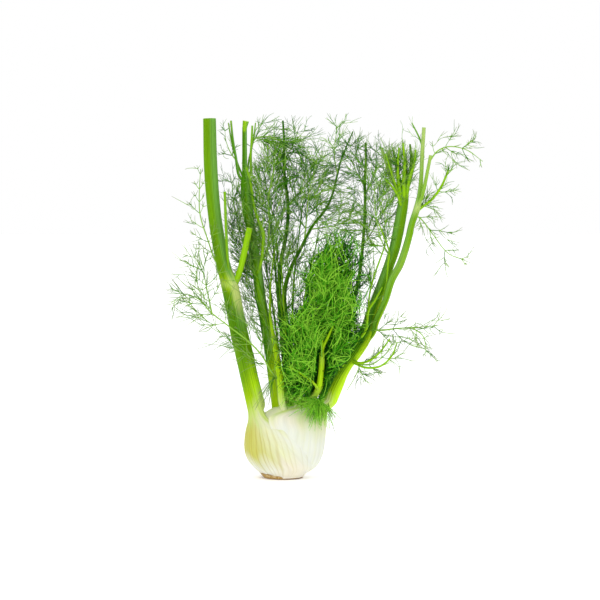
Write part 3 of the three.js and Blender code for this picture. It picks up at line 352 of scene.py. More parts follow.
# ------------------------------------------------------------------ the fronds' tables
# Midribs [x, y, z, radius]; reach is the longest shoot. `fill` is how full of fine threads
# the frond is.
FRONDS = {
    "frond_left_spray": dict(seed=11, reach=30, fill=0.55, midribs=[
        [[-3, -10, 108, 1.2], [-12, -17, 120, 1.2], [-22, -19, 137, 1.2],
         [-36, -20, 152, 1.2], [-58, -20, 169, 1.1], [-77, -20, 184, 1.0],
         [-90, -19, 198, 0.9], [-106, -18, 203, 0.8], [-121, -18, 194, 0.6]],
        [[-76, -20, 183, 0.9], [-81, -19, 206, 0.8], [-86, -18, 228, 0.7],
         [-96, -17, 246, 0.6]]]),
    "frond_left_side": dict(seed=12, reach=20, fill=0.15, midribs=[
        [[-66, 0, 229, 1.1], [-74, -3, 242, 1.1], [-81, -4, 262, 1.0],
         [-89.5, -4, 290, 0.9], [-90.5, -3, 312, 0.8], [-89, -2, 340, 0.6]]]),
    "frond_second_left": dict(seed=13, reach=19, midribs=[
        [[-27, 8, 226, 1.3], [-39, 13, 246, 1.2], [-47, 15, 273, 1.1],
         [-53, 16, 301, 0.9], [-56, 16, 330, 0.7]]]),
    "frond_second_top": dict(seed=14, reach=15, midribs=[
        [[-50, 9, 349, 1.0], [-57, 13, 359, 0.9], [-62, 15, 372, 0.7],
         [-63, 15, 384, 0.6]]]),
    "frond_second_arch": dict(seed=15, reach=27, step=12, midribs=[
        [[-33.6, 8, 366, 1.2], [-29, 12, 374, 1.2], [-20, 14, 376, 1.1],
         [-10, 14.5, 375, 1.0], [1, 14, 368, 0.9], [9, 14, 350, 0.8], [13, 14, 330, 0.6]]]),
    "frond_second_middle": dict(seed=16, reach=26, midribs=[
        [[-26, 6, 232, 1.3], [-16, 3, 252, 1.3], [-14, 2, 280, 1.2], [-15, 1, 308, 1.0],
         [-9, 0, 336, 0.9], [-7, 0, 362, 0.6]]]),
    "frond_back_left_low": dict(seed=17, reach=27, midribs=[
        [[3, 21, 262, 1.3], [-8, 26, 285, 1.2], [-17, 29, 315, 1.0], [-20, 29, 350, 0.7]]]),
    "frond_back_left_right": dict(seed=18, reach=27, midribs=[
        [[6.6, 22, 300, 1.3], [20, 26, 316, 1.1], [34, 27, 334, 0.9], [45, 27, 356, 0.6]]]),
    "frond_back_left_top": dict(seed=19, reach=19, midribs=[
        [[2, 23, 350, 1.1], [10, 29, 364, 1.0], [18, 31, 376, 0.8], [26, 31, 384, 0.6]]]),
    "frond_middle_low": dict(seed=20, reach=25, midribs=[
        [[25, 10, 264, 1.2], [27, 4, 285, 1.1], [30, 2, 315, 0.9], [39, 2, 350, 0.6]]]),
    "frond_middle_right": dict(seed=21, reach=20, midribs=[
        [[31, 10, 274, 1.1], [46, 5, 276, 1.0], [62, 2, 279, 0.9], [76, 2, 286, 0.6]]]),
    "frond_middle_top": dict(seed=22, reach=18, midribs=[
        [[61.2, 10, 335, 1.1], [58, 5, 350, 0.9], [58, 3, 368, 0.8], [61, 3, 388, 0.6]]]),
    "frond_right_back_left": dict(seed=23, reach=17, midribs=[
        [[91, 16, 322, 1.1], [82, 20, 338, 1.0], [77, 22, 352, 0.8], [76, 22, 368, 0.6]]]),
    "frond_right_back_right": dict(seed=24, reach=17, midribs=[
        [[92, 16, 314, 1.1], [101, 20, 330, 0.9], [104, 21, 346, 0.8],
         [104, 21, 362, 0.6]]]),
    "frond_right_back_low": dict(seed=25, reach=21, midribs=[
        [[89, 16, 256, 1.1], [99, 19, 270, 1.0], [108, 20, 290, 0.8],
         [112, 20, 315, 0.6]]]),
    "frond_right_inner": dict(seed=26, reach=20, midribs=[
        [[120, 0, 242, 1.1], [109, -6, 262, 1.0], [103, -9, 287, 0.9], [101, -9, 312, 0.8],
         [103, -9, 332, 0.6]]]),
    "frond_tip_long": dict(seed=27, reach=20, fill=0.5, midribs=[
        [[160.5, -17, 348, 1.0], [169, -15, 359, 0.9], [181, -13, 364, 0.8],
         [200, -11, 361, 0.7], [219, -10, 348, 0.5]]]),
    "frond_tip_upright": dict(seed=28, reach=16, midribs=[
        [[148, -9, 297, 1.1], [163, -5, 306, 1.0], [174, -3, 320, 0.8],
         [182, -2, 340, 0.6]]]),
    "frond_tip_hanging": dict(seed=29, reach=21, fill=0.4, midribs=[
        [[145, -10, 290, 1.0], [152, -15, 285, 0.9], [164, -19, 269, 0.8],
         [181, -20, 248, 0.7], [198, -20, 241, 0.5]]]),
    "frond_right_spray_high": dict(seed=30, reach=21, fill=0.5, midribs=[
        [[97, -4, 164, 1.2], [110, -12, 164, 1.1], [125, -15, 166, 1.0],
         [143, -15, 167, 0.9], [170, -14, 169, 0.6]],
        [[142, -15, 167, 0.8], [154, -15, 158, 0.7], [158, -14, 140, 0.5]]]),
    "frond_right_spray_low": dict(seed=31, reach=20, fill=0.5, midribs=[
        [[76, -3, 134, 1.2], [86, -12, 127, 1.1], [98, -16, 127, 1.0],
         [112, -17, 137, 0.8], [124, -17, 154, 0.6]],
        [[86, -12, 127, 0.8], [80, -15, 113, 0.7], [71, -16, 98, 0.5]]]),
    "frond_young_left": dict(seed=32, reach=24, young=True, step=15, midribs=[
        [[25.5, -19.5, 122, 1.2], [24, -25, 132, 1.1], [21.5, -26, 152, 1.1],
         [22, -25, 175, 1.0], [26, -24, 205, 0.8], [36, -24, 233, 0.6]]]),
    "frond_young_middle": dict(seed=33, reach=25, young=True, step=15, midribs=[
        [[44, -22.5, 131, 1.2], [43, -29, 142, 1.1], [43, -30, 165, 1.1],
         [46, -29, 191, 1.0], [52, -28, 220, 0.9], [60, -28, 247, 0.8],
         [64, -28, 266, 0.6]]]),
    "frond_young_right": dict(seed=34, reach=23, young=True, step=15, midribs=[
        [[56, -17.3, 155, 1.2], [61, -22, 165, 1.1], [65, -22, 180, 1.0],
         [70, -21, 198, 0.9], [76, -20, 218, 0.8], [80, -19, 240, 0.6]]]),
    "frond_young_side": dict(seed=35, reach=18, young=True, midribs=[
        [[43.5, -22.5, 134, 1.2], [54, -29, 146, 1.0], [66, -31, 157, 0.9],
         [78, -30, 170, 0.6]]]),
    "frond_young_low": dict(seed=36, reach=20, young=True, midribs=[
        [[40, -19.5, 100, 1.1], [30, -30, 112, 1.0], [16, -33, 121, 0.8],
         [2, -32, 128, 0.6]]]),
}


# ------------------------------------------------------------------ the fronds' rule
# Room that a new line keeps from the lines of other owners, and from its own frond's.
GAP = 0.3
OWN_GAP = 0.1
# The furthest that a line reaches to the left, to the right and up.
REACH_LEFT, REACH_RIGHT, REACH_TOP = -122, 221, 396
# A line's radius, the length of its root that may touch its own frond, and how far its outer
# half turns along what bears it.
SHOOT = (0.62, 4, 0.3)
NEEDLE = (0.35, 2, 0)
SHOOT_ANGLE = 48  # degrees between a shoot and its midrib
SHOOT_STEP = 17  # distance between pairs of shoots
NEEDLE_ANGLE = 46  # degrees between a needle and its shoot
WHORL = 3  # needles in a whorl
LONG_SHOOT = 17  # a longer shoot than this has two whorls
ATTEMPTS = 6  # how often a line is tried


def random_stream(seed):
    """A repeatable stream of numbers from 0 to 1."""
    state = seed & 0xFFFFFFFF

    def draw():
        nonlocal state
        state = (state + 0x6D2B79F5) & 0xFFFFFFFF
        t = ((state ^ (state >> 15)) * (state | 1)) & 0xFFFFFFFF
        t ^= (t + ((t ^ (t >> 7)) * (t | 61))) & 0xFFFFFFFF
        return (t ^ (t >> 14)) / 4294967296

    return draw


class Taken:
    """The straight pieces that a new line has to stay clear of, each with an owner."""
    most = 20000

    def __init__(self):
        self.count = 0
        self.start = np.zeros((self.most, 3))
        self.along = np.zeros((self.most, 3))
        self.radius = np.zeros(self.most)
        self.owner = np.zeros(self.most, int)

    def add(self, a, b, r, owner):
        self.start[self.count] = a
        self.along[self.count] = b - a
        self.radius[self.count] = r
        self.owner[self.count] = owner
        self.count += 1

    def gaps(self, a, b, r):
        """Room between a straight line a-b of radius r and every piece."""
        n = self.count
        c, w = self.start[:n], self.along[:n]
        u = b - a
        s = a - c
        uu, us = u @ u, s @ u
        uw, ww, ws = w @ u, (w * w).sum(1), (w * s).sum(1)
        across = uu * ww - uw * uw
        p = np.where(across > 1e-9,
                     np.clip((uw * ws - ww * us) / np.maximum(across, 1e-9), 0, 1), 0)
        q = np.clip((uw * p + ws) / ww, 0, 1)
        p = np.clip((uw * q - us) / uu, 0, 1)
        apart = (a + u * p[:, None]) - (c + w * q[:, None])
        return np.sqrt((apart * apart).sum(1)) - (r + self.radius[:n])

    def is_clear(self, a, b, r, owner):
        """Whether a line ends within reach and keeps clear of other owners' pieces."""
        if not (REACH_LEFT < b[0] < REACH_RIGHT and b[2] < REACH_TOP):
            return False
        others = self.owner[:self.count] != owner
        return bool((self.gaps(a, b, r)[others] > GAP).all())

    def is_alone(self, a, b, r, owner):
        """Whether a line keeps clear of its own frond's pieces."""
        own = self.owner[:self.count] == owner
        return bool((self.gaps(a, b, r)[own] > OWN_GAP).all())


def leaving(along, angle, roll):
    """A direction that leaves `along` at an angle, turned round it by roll."""
    side = np.array([0, 1, 0] if abs(along[1]) < 0.9 else [1, 0, 0], float)
    flat = unit(np.cross(side, along))
    deep = np.cross(along, flat)
    return (along * math.cos(angle) + flat * (math.sin(angle) * math.cos(roll))
            + deep * (math.sin(angle) * math.sin(roll)))


def try_line(taken, root, along, angle, roll, length, kind, owner, draw):
    """Tries a line, each time turned further or made shorter, until it is clear."""
    r, free, bend = kind
    for attempt in range(ATTEMPTS):
        turned = roll + (draw() - 0.5) * 0.5 * (attempt + 1)
        size = length * (1 - 0.12 * attempt)
        direction = leaving(along, angle, turned)
        middle = root + direction * (size * 0.5)
        tip = middle + unit(direction + along * bend) * (size * 0.5)
        start = root + (middle - root) * min(0.9, free / (size * 0.5))
        if (taken.is_clear(root, middle, r, owner) and taken.is_clear(middle, tip, r, owner)
                and taken.is_alone(start, middle, r, owner)
                and taken.is_alone(middle, tip, r, owner)):
            return [root, middle, tip]
    return None


def plan_shoots(taken, spec, route, start, owner, draw):
    """Pairs of shoots at the midrib's nodes, each with its line and its size."""
    length = route.length()
    count = max(2, math.floor(length / spec.get("step", SHOOT_STEP) + 0.5))
    shoots = []
    for i in range(count):
        t = i / (count - 1)
        u = (1 - t) * max(0.18, start + 3 / length) + t * 0.96
        swell = 0.55 + 0.45 * math.sin(math.pi * min(1, u + 0.15))
        for side in (0, math.pi):
            angle = math.radians(SHOOT_ANGLE + (draw() - 0.5) * 24)
            roll = side + (draw() - 0.5) * 1.5
            size = spec["reach"] * swell * (0.75 + 0.5 * draw())
            line = try_line(taken, route.at(u), route.tangent(u), angle, roll, size, SHOOT,
                            owner, draw)
            if line:
                shoots.append(dict(line=line, size=size))
                taken.add(line[0], line[1], SHOOT[0], owner)
                taken.add(line[1], line[2], SHOOT[0], owner)
    return shoots


def plan_needles(taken, line, shoot_size, owner, draw):
    """Needles in whorls at one or two places on a shoot."""
    needles = []
    for share in ([0.42, 0.76] if shoot_size > LONG_SHOOT else [0.6]):
        half = 0 if share < 0.5 else 1
        a, b = line[half], line[half + 1]
        centre = a + (b - a) * (share * 2 - half)
        along = unit(b - a)
        for k in range(WHORL):
            angle = math.radians(NEEDLE_ANGLE + (draw() - 0.5) * 24)
            roll = k * (2 * math.pi / WHORL) + (draw() - 0.5) * 0.9
            size = shoot_size * (0.72 - 0.4 * share) * (0.75 + 0.5 * draw())
            needle = try_line(taken, centre, along, angle, roll, size, NEEDLE, owner, draw)
            if needle:
                needles.append(needle)
                taken.add(needle[0], needle[2], NEEDLE[0], owner)
    return needles


def first_clear(taken, route, owner):
    """How far along its route a midrib stands clear of the stalk that bears it."""
    u = 0.0
    while u < 0.5:
        here = route.at(u)
        if taken.is_clear(here, here + route.tangent(u) * 0.5, route.radius(u), owner):
            return u
        u += 0.002
    raise RuntimeError(f"frond {owner} never leaves its stalk")


def plan_fronds():
    """Every frond's midribs, shoots and needles, {name: [(route, shoots), ...]}, with what they
    keep clear of; the first pieces of that are the bulb and the stalks."""
    taken = Taken()
    # A capsule stands for the bulb.
    taken.add(np.array([-12.0, 0, 49]), np.array([22.0, 0, 49]), 34, -1)
    stalks = [(-2, LEFT_LEAF["route"]), (-3, RIGHT_LEAF["route"]), (-4, SECOND_LEAF["route"])]
    for owner, branches in ((-2, LEFT_BRANCHES), (-3, RIGHT_BRANCHES), (-4, SECOND_BRANCHES),
                            (-5, HEART_STALKS)):
        stalks += [(owner, Route(points)) for points, _ in branches]
    for owner, route in stalks:
        for a, b, r in route.capsules():
            taken.add(a, b, r, owner)
    stalk_count = taken.count
    names = list(FRONDS)
    for owner, name in enumerate(names):
        for points in FRONDS[name]["midribs"]:
            for a, b, r in Route(points).capsules():
                taken.add(a, b, r, owner)
    planned = {}
    for owner, name in enumerate(names):
        spec = FRONDS[name]
        draw = random_stream(spec["seed"])
        midribs = []
        for i, points in enumerate(spec["midribs"]):
            route = Route(points)
            start = first_clear(taken, route, owner) if i == 0 else 0
            midribs.append((route, plan_shoots(taken, spec, route, start, owner, draw)))
        for _, shoots in midribs:
            for shoot in shoots:
                shoot["needles"] = plan_needles(taken, shoot["line"], shoot["size"], owner, draw)
        planned[name] = midribs
    return planned, taken, stalk_count


# ------------------------------------------------------------------ sizes and colours
def linear(code):
    """An sRGB hex colour as linear red, green and blue."""
    values = [int(code[i:i + 2], 16) / 255 for i in (1, 3, 5)]
    return [v / 12.92 if v <= 0.04045 else ((v + 0.055) / 1.055) ** 2.4 for v in values]


def colour(name, description, code):
    return FloatVectorProperty(name=name, description=description, default=linear(code),
                               subtype="COLOR", size=3, min=0, max=1)


class FennelBulb(bpy.types.PropertyGroup):
    """The bulb: its ribs and the colours of its sheaths and root."""
    rib: FloatProperty(name="Rib height", description="How far the outer sheath's ribs stand up",
                       default=LEFT_LEAF["rib_height"] * MM, min=0, unit="LENGTH")
    cream: colour("Foot", "Sheath where it leaves the root", "#efe8d4")
    white: colour("White", "Blanched sheath", "#ebede0")
    ivory: colour("Ivory", "Sheath just above the blanched part", "#e6e8c0")
    straw: colour("Straw", "Olive-yellow tint on the outer sheath", "#cccb68")
    ochre: colour("Rib line", "Groove between two ribs", "#bcae4c")
    pale: colour("Pale green", "Shoulder where white turns green", "#cadc7c")
    tan: colour("Cut root", "Cut root plate", "#c2a05a")
    bark: colour("Root skin", "Torn skin round the root plate", "#8a6420")


class FennelStalks(bpy.types.PropertyGroup):
    """The stalks: their ridges and greens."""
    ridge: FloatProperty(name="Ridge depth", description="Depth of the grooves along a stalk",
                         default=0.34 * MM, min=0, unit="LENGTH")
    lime: colour("Lime", "Bright stalk base", "#a6cc0a")
    leaf: colour("Leaf green", "Lower stalk", "#72a60c")
    grass: colour("Grass green", "Upper stalk", "#4e8c08")
    sage: colour("Sage", "Lighter side of a stalk", "#74ac44")
    deep: colour("Deep green", "Shaded side of a stalk", "#2d6606")
    fresh: colour("Fresh green", "Youngest stalks and side stems", "#98ce18")
    # Shoot green is partly the young stems' own pale green and partly painted light, lighter than
    # that to make up for the shade of the fronds round them.
    shoot: colour("Shoot", "Stems of the youngest fronds", "#c6f41c")
    pith: colour("Pith", "Cut end of a stalk", "#dbe8a8")


class FennelFronds(bpy.types.PropertyGroup):
    """The fronds: thickness and colours of the threads."""
    thread: FloatProperty(name="Thread", description="Diameter of a fine thread",
                          default=0.6 * MM, min=0, unit="LENGTH")
    young_thread: FloatProperty(name="Young thread", description="Diameter of a young thread",
                                default=0.72 * MM, min=0, unit="LENGTH")
    steps: IntProperty(name="Steps", description="Straight pieces in a fine thread",
                       default=4, min=2, max=8)
    # The dark greens are partly each thread's own tone and partly painted shade for threads deep
    # in or behind a mass of fronds.
    old_dark: colour("Old thread, dark", "Older fronds, darkest threads", "#2a6c08")
    old: colour("Old thread", "Older fronds, most threads", "#549c10")
    old_light: colour("Old thread, light", "Older fronds, lightest threads", "#96c648")
    grey: colour("Old thread, tip", "Older fronds, dry tips", "#8f9470")
    young_dark: colour("Young thread, dark", "Young fronds, threads deep inside", "#185a02")
    young: colour("Young thread", "Young fronds, most threads", "#48ae08")
    young_light: colour("Young thread, light", "Young fronds, lightest threads", "#9cdc3e")


class FennelStage(bpy.types.PropertyGroup):
    """The studio: floor, light and camera."""
    floor: colour("Floor", "Paper floor", "#ffffff")
    sky: FloatProperty(name="Studio light", description="Strength of the light all round",
                       default=0.44, min=0)
    lens: FloatProperty(name="Lens", description="Focal length", default=100, min=20,
                        unit="CAMERA")


# ------------------------------------------------------------------ meshes
# How finely a leaf is drawn: points across a rib, points round its inner side, and the
# distances between rings on the sheath and on the stalk.
RIB_POINTS = 11
INNER_POINTS = 28
SHEATH_STEP = 2.1
LEAF_STEP = 4.5
# How a cut end closes: size of the ring, how far it is lifted, and how much of it is pith.
CUT_END = [(0.985, 0.25, 0.2), (0.93, 0.45, 0.7), (0.84, 0.38, 1), (0.6, 0.2, 1),
           (0.35, 0.05, 1), (0.1, 0.0, 1)]
# A heart stalk widens over this much of its base, and is slimmer above the bulb.
FLARE_LENGTH = 22
SLIM_HEIGHTS = (120, 230)
PETIOLE_RIDGE = 0.1  # ridges of a thin petiole


def section(tangent, side):
    """Two directions square to a route: out sideways, and towards the front."""
    front = unit(np.array([0, -1, 0]) + tangent * tangent[1])
    out = np.cross(tangent, front) if side > 0 else np.cross(front, tangent)
    return out, front


def crest(phase):
    """Height of a rounded rib, 0 in the groove and 1 on top; one rib for each whole number."""
    return np.abs(np.sin(np.pi * phase)) ** 1.15


def peak_at(z, peaks):
    """How much a stalk pales or swells where leaves branch off, from rows of height, half
    height and amount."""
    found = np.zeros(len(z))
    for middle, reach, amount in peaks:
        found = np.maximum(found, amount * np.exp(-((z - middle) / reach) ** 2))
    return found


def leaf_rings(spec, rib, ridge):
    """The finished leaf's rings: points, and for each point its grain and its marks. The grain
    is outwards, forwards and along; the marks are rib height, bright tint and pith."""
    side, ribs = spec["side"], spec["ribs"]
    outer, inner = ribs * RIB_POINTS + 1, INNER_POINTS
    half_arc = math.pi * (spec["outer"] - 0.5) / (spec["outer"] + spec["inner"])
    share = np.linspace(0, 1, outer)
    turn_out = -half_arc + 2 * half_arc * share
    turn_in = half_arc + (2 * math.pi - 2 * half_arc) * (np.arange(inner) + 0.5) / inner
    turn = np.concatenate([turn_out, turn_in])
    phase = (turn + half_arc) / (2 * half_arc) * ribs
    # No two ribs are quite the same width.
    phase = phase + 0.22 * np.sin(turn * 5 + 1) + 0.12 * np.sin(turn * 11 + 2)
    stalk_ridges = crest(phase)
    on_face = np.minimum(1, 7 * np.concatenate([share * (1 - share), np.zeros(inner)]))
    rings, low, high = [], *spec["closes"]
    route = spec["route"]

    def sheath_angles(z):
        front, back = math.radians(spec["front"](z)), -math.radians(spec["back"](z))
        return np.concatenate([back + (front - back) * share, np.linspace(front, back, inner)])

    def ridges_at(z):
        """The ribs at a height; a fan's ribs run down more steeply than the margin does."""
        if "fan" not in spec:
            return stalk_ridges
        heights, widths = zip(*spec["fan"])
        fanned = (RIB_COUNTED + (np.degrees(sheath_angles(z)) - RIB_STRAIGHT)
                  / np.interp(z, heights, widths))
        fanned = fanned + 0.2 * np.sin(fanned * 1.7 + z * 0.03) + 0.1 * np.sin(fanned * 3.9)
        mix = smooth(z, 60, 76)
        return crest(fanned * (1 - mix) + phase * mix)

    def stalk_ring(u):
        out, front = section(route.tangent(u), side)
        r = route.radius(u) - ridge * (1 - stalk_ridges)
        swell = peak_at(np.array([route.at(u)[2]]), spec.get("swell", ()))[0]
        r = r + swell * np.maximum(0, np.cos(turn))
        return (route.at(u) + np.outer(r * np.cos(turn), out)
                + np.outer(r * np.sin(turn), front))

    def sheath_ring(z, ridges):
        centre, half, depth = bulb_at(z)
        angle = sheath_angles(z)
        bend = np.maximum(0, 1 - (angle / math.radians(spec["thin_from"])) ** 2)
        fade = smooth(z, 1, 14) * (1 - 0.45 * smooth(z, 50, 64))
        inset = np.where(np.arange(outer + inner) < outer,
                         spec["inset"] - rib * ridges * on_face * fade,
                         spec["thin"] + (spec["thick"] - spec["thin"]) * bend)
        return np.column_stack([centre + side * (half - inset) * np.cos(angle),
                                -(depth - inset) * np.sin(angle), np.full(outer + inner, z)])

    def add(points, along, ridges=stalk_ridges, cut=0.0):
        grain = np.column_stack([np.cos(turn), np.sin(turn),
                                 np.full(len(turn), along * MM)])
        paler = np.maximum(peak_at(points[:, 2], spec.get("joints", ())), cut)
        rings.append((points, grain, np.column_stack([ridges, np.zeros(len(turn)), paler])))

    heights = [FOOT, 2.6, 4.0, 5.6, 7.4, *np.arange(9.5, high, SHEATH_STEP), high]
    for z in heights:
        closed, ridges = smooth(z, low, high), ridges_at(z)
        add(sheath_ring(z, ridges) * (1 - closed) + stalk_ring(route.at_height(z)) * closed, z,
            ridges)
    first = route.at_height(high + 2)
    length = route.length() * (1 - first)
    count = int(length / LEAF_STEP)
    for k in range(count + 1):
        u = first + (1 - first) * k / count
        add(stalk_ring(u), high + length * k / count)
    end, tangent, top = route.at(1), route.tangent(1), rings[-1][0]
    for scale, lift, cut in CUT_END:
        add(end + (top - end) * scale + tangent * lift, high + length, cut=cut)
    return rings


def stem_rings(points, tint, ridge, side, sides=20, step=3.5, ribs=7, flare=0.0, slim=0.0,
               joints=(), fades=(380, 400)):
    """Rings of a side stem: ridged, tapered and cut off square at its top; flare widens its
    base, slim narrows it above the bulb, joints pale it, and its tint fades between two
    heights."""
    route = Route(points)
    count = max(6, int(route.length() / step))
    turn = np.linspace(0, 2 * math.pi, sides, endpoint=False)
    ridges = (crest(turn / (2 * math.pi) * ribs + 0.1 * np.sin(turn * 2)) if ribs
              else np.full(sides, 0.8))
    across, rings = None, []
    for k in range(count + 1):
        u = k / count
        tangent = route.tangent(u)
        if across is None:
            across = np.array([0, 1, 0] if abs(tangent[1]) < 0.9 else [1, 0, 0], float)
        across = unit(across - tangent * (across @ tangent))
        up = np.cross(tangent, across)
        r = route.radius(u)
        r = r * (1 + flare * (1 - smooth(u * count * step, 0, FLARE_LENGTH)))
        r = r * (1 - slim * smooth(route.at(u)[2], *SLIM_HEIGHTS))
        r = r - min(ridge, 0.08 * r) * (1 - ridges)
        ring = route.at(u) + np.outer(r * np.cos(turn), across) + np.outer(r * np.sin(turn), up)
        shown = tint * (1 - 0.8 * smooth(route.at(u)[2], *fades))
        rings.append((ring, *stem_marks(ring, route.at(u), side, ridges, u * count * step,
                                        shown, peak_at(ring[:, 2], joints))))
    top, end = rings[-1][0], route.at(1)
    for scale, lift, cut in CUT_END:
        ring = end + (top - end) * scale + tangent * lift * min(1, route.radius(1) / 5)
        rings.append((ring, *stem_marks(top, end, side, ridges, count * step, tint, cut)))
    return rings


def stem_marks(ring, centre, side, ridges, along, tint, cut):
    """A stem ring's grain, with its first part measured sideways, and its marks."""
    away = (ring - centre) / max(1e-6, float(np.abs(ring - centre).max()))
    count = len(ring)
    grain = np.column_stack([side * away[:, 0], -away[:, 1], np.full(count, along * MM)])
    mark = np.column_stack([ridges, np.full(count, tint), np.broadcast_to(cut, count)])
    return grain, mark


def new_bmesh():
    bm = bmesh.new()
    bm.verts.layers.int.new("place")
    bm.verts.layers.float_vector.new("grain")
    bm.verts.layers.float_vector.new("mark")
    return bm


def add_loft(bm, rings):
    """Extrudes a circle from ring to ring and closes both ends."""
    place = bm.verts.layers.int["place"]
    layers = [bm.verts.layers.float_vector[name] for name in ("grain", "mark")]
    segments = len(rings[0][0])
    verts = bmesh.ops.create_circle(bm, cap_ends=False, radius=1, segments=segments)["verts"]
    for i, vert in enumerate(verts):
        vert[place] = i
    edges = list(dict.fromkeys(edge for vert in verts for edge in vert.link_edges))
    first = edges
    for k, (points, *values) in enumerate(rings):
        if k:
            made = bmesh.ops.extrude_edge_only(bm, edges=edges)["geom"]
            verts = [item for item in made if isinstance(item, bmesh.types.BMVert)]
            edges = [item for item in made
                     if isinstance(item, bmesh.types.BMEdge) and item.is_boundary]
        for vert in verts:
            i = vert[place]
            vert.co = points[i] * MM
            for layer, value in zip(layers, values):
                vert[layer] = value[i]
    for loop in (first, edges):
        bmesh.ops.edgeloop_fill(bm, edges=loop)


def finish_mesh(bm, name, sharp=math.radians(50)):
    """Faces outwards, no large faces, smooth shading with sharp cut edges."""
    bmesh.ops.recalc_face_normals(bm, faces=bm.faces)
    bmesh.ops.triangulate(bm, faces=[face for face in bm.faces if len(face.verts) > 4])
    mesh = bpy.data.meshes.new(name)
    bm.to_mesh(mesh)
    bm.free()
    mesh.polygons.foreach_set("use_smooth", np.ones(len(mesh.polygons), bool))
    mesh.set_sharp_from_angle(angle=sharp)
    return mesh


def add_piece(mesh, name, material, slot, *nodes):
    """Puts a finished mesh in the scene in place of the nodes it stands for."""
    piece = bpy.data.objects.new(name, mesh)
    bpy.context.scene.collection.objects.link(piece)
    mesh.materials.clear()
    mesh.materials.append(material)
    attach(piece, "root")
    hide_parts(*nodes)
    return piece


# ------------------------------------------------------------------ threads
THREAD_SEED = 71
# Where the fronds' fine threads fill the air: middle x and z, half width and half height,
# nearest and furthest y, and how many threads aim for a place in there.
OLD_AIR = [
    (8, 342, 42, 42, -8, 30, 400), (14, 290, 74, 72, -8, 30, 840),
    (-51, 270, 12, 58, 0, 18, 230), (-34, 290, 14, 60, -12, 4, 220),
    (-42, 232, 16, 36, 2, 20, 150), (-6, 215, 40, 74, -4, 24, 1000),
    (97, 322, 42, 56, -12, 24, 310), (68, 340, 32, 50, -4, 18, 210),
    (130, 340, 22, 32, -16, 16, 300), (92, 226, 14, 38, -18, 4, 110),
]
# First the shaded threads inside the young fronds, then the fewer ones that lie outside.
YOUNG_AIR = [
    (62, 240, 22, 27, -30, -14, 240), (56, 202, 31, 34, -32, -12, 540),
    (50, 166, 37, 33, -32, -12, 640), (34, 134, 31, 30, -31, -12, 540),
    (22, 104, 22, 17, -28, -8, 320), (66, 142, 17, 24, -30, -12, 260),
    (48, 112, 15, 20, -26, -10, 200), (44, 102, 14, 20, -14, -2, 200),
    (24, 97, 16, 13, -16, -2, 170), (76, 156, 14, 18, -26, -10, 130),
    (45, 236, 15, 20, -34, -16, 150), (14, 168, 15, 25, -30, -14, 190),
    (45, 234, 14, 18, -40, -32, 60), (13, 166, 13, 24, -40, -32, 70),
    (70, 264, 16, 14, -36, -22, 80), (62, 240, 20, 25, -38, -30, 80),
    (56, 202, 30, 33, -42, -33, 190), (50, 166, 36, 32, -43, -33, 230),
    (34, 134, 30, 29, -42, -32, 190),
    (22, 104, 21, 16, -38, -28, 100), (66, 142, 16, 23, -40, -30, 80),
]
# The two masses of fronds: what air they fill and with which habit; the diameter of their
# threads, how long those are and into how many pieces more they are cut; the depth in front of
# which threads are longer and thicker; and how much painted shade darkens them for lying inside
# the mass, and for lying behind, which comes in between two depths.
OLD_MASS = dict(air=OLD_AIR, habit="old", thread="thread", lengths=(9, 23), more_steps=0,
                outside=-100, inside=0.7, behind=0.4, depths=(2, 24))
YOUNG_MASS = dict(air=YOUNG_AIR, habit="young", thread="young_thread", lengths=(17, 36),
                  more_steps=2, outside=-32, inside=0.25, behind=0.9, depths=(-37, -27))
# Tufts of short threads: the frond they belong to, x, y, z of the middle, the direction that
# they spread about, how wide they spread, how many there are, and the longest.
TUFTS = [
    ("frond_young_low", (41, -23, 89), (0.1, -0.4, -0.8), 1.5, 170, 32),
    ("frond_right_spray_low", (50, -22, 83), (0.3, -0.4, -0.9), 0.7, 8, 32),
    ("frond_young_low", (30, -14, 88), (-0.2, -0.7, 0.1), 1.7, 40, 14),
    ("frond_young_low", (21, -10, 82), (0.0, -0.5, 0.7), 1.5, 60, 17),
    ("frond_young_low", (11, -7, 80), (-0.1, -0.5, 0.7), 1.4, 50, 16),
    ("frond_young_low", (28, -9, 82), (0.2, -0.4, 0.8), 1.5, 60, 18),
    ("frond_left_spray", (-9, -14, 114), (-0.45, -0.1, -0.9), 0.5, 12, 40),
    ("frond_left_spray", (-60, -10, 196), (-0.2, -0.2, -0.9), 0.6, 5, 34),
    ("frond_tip_upright", (182, -2, 338), (0.1, 0, 0.9), 0.9, 9, 10),
    ("frond_right_inner", (128, -6, 343), (-0.2, -0.2, 0.9), 0.8, 14, 24),
    ("frond_right_inner", (133, -7, 346), (0.0, -0.2, 0.9), 0.8, 14, 24),
    ("frond_right_inner", (143, -6, 343), (0.3, -0.1, 0.9), 0.8, 14, 24),
    ("frond_right_inner", (125, 8, 346), (-0.2, 0.2, 0.9), 0.8, 12, 24),
    ("frond_right_inner", (140, 1, 345), (0.3, 0.2, 0.9), 1.0, 14, 28),
    ("frond_right_inner", (111, -5, 352), (-0.1, 0, 0.9), 0.7, 9, 20),
    ("frond_tip_long", (151, -7, 300), (0.6, 0.1, 0.8), 1.0, 14, 34),
]


# How threads grow: how much they curl, how strictly they follow what bears them, and the
# share of them that fork.
HABITS = {"sparse": (0.1, 0.9, 0.6), "old": (0.17, 0.5, 0.6), "young": (0.46, 0.12, 0.35)}
# What a place on a frond that isn't allowed costs, and the most that a place may cost.
NOT_ALLOWED = 9.0
DEAREST = 3
# How far threads may pass the solids' box, in x, in y and upwards.
PASSING = np.array([6, 1.2, 6])
# Rows of height, x, depth and room at either side: between two heights, threads in front of
# this would hide the young fronds' pale stem.
PALE_STEM = [[88, 32, -15, 6.4], [102, 40, -20, 6.4], [122, 43, -22, 6.4],
             [141, 44, -24, 6.4], [168, 55, -36, 2.6]]
PALE_HEIGHTS = (94, 168)
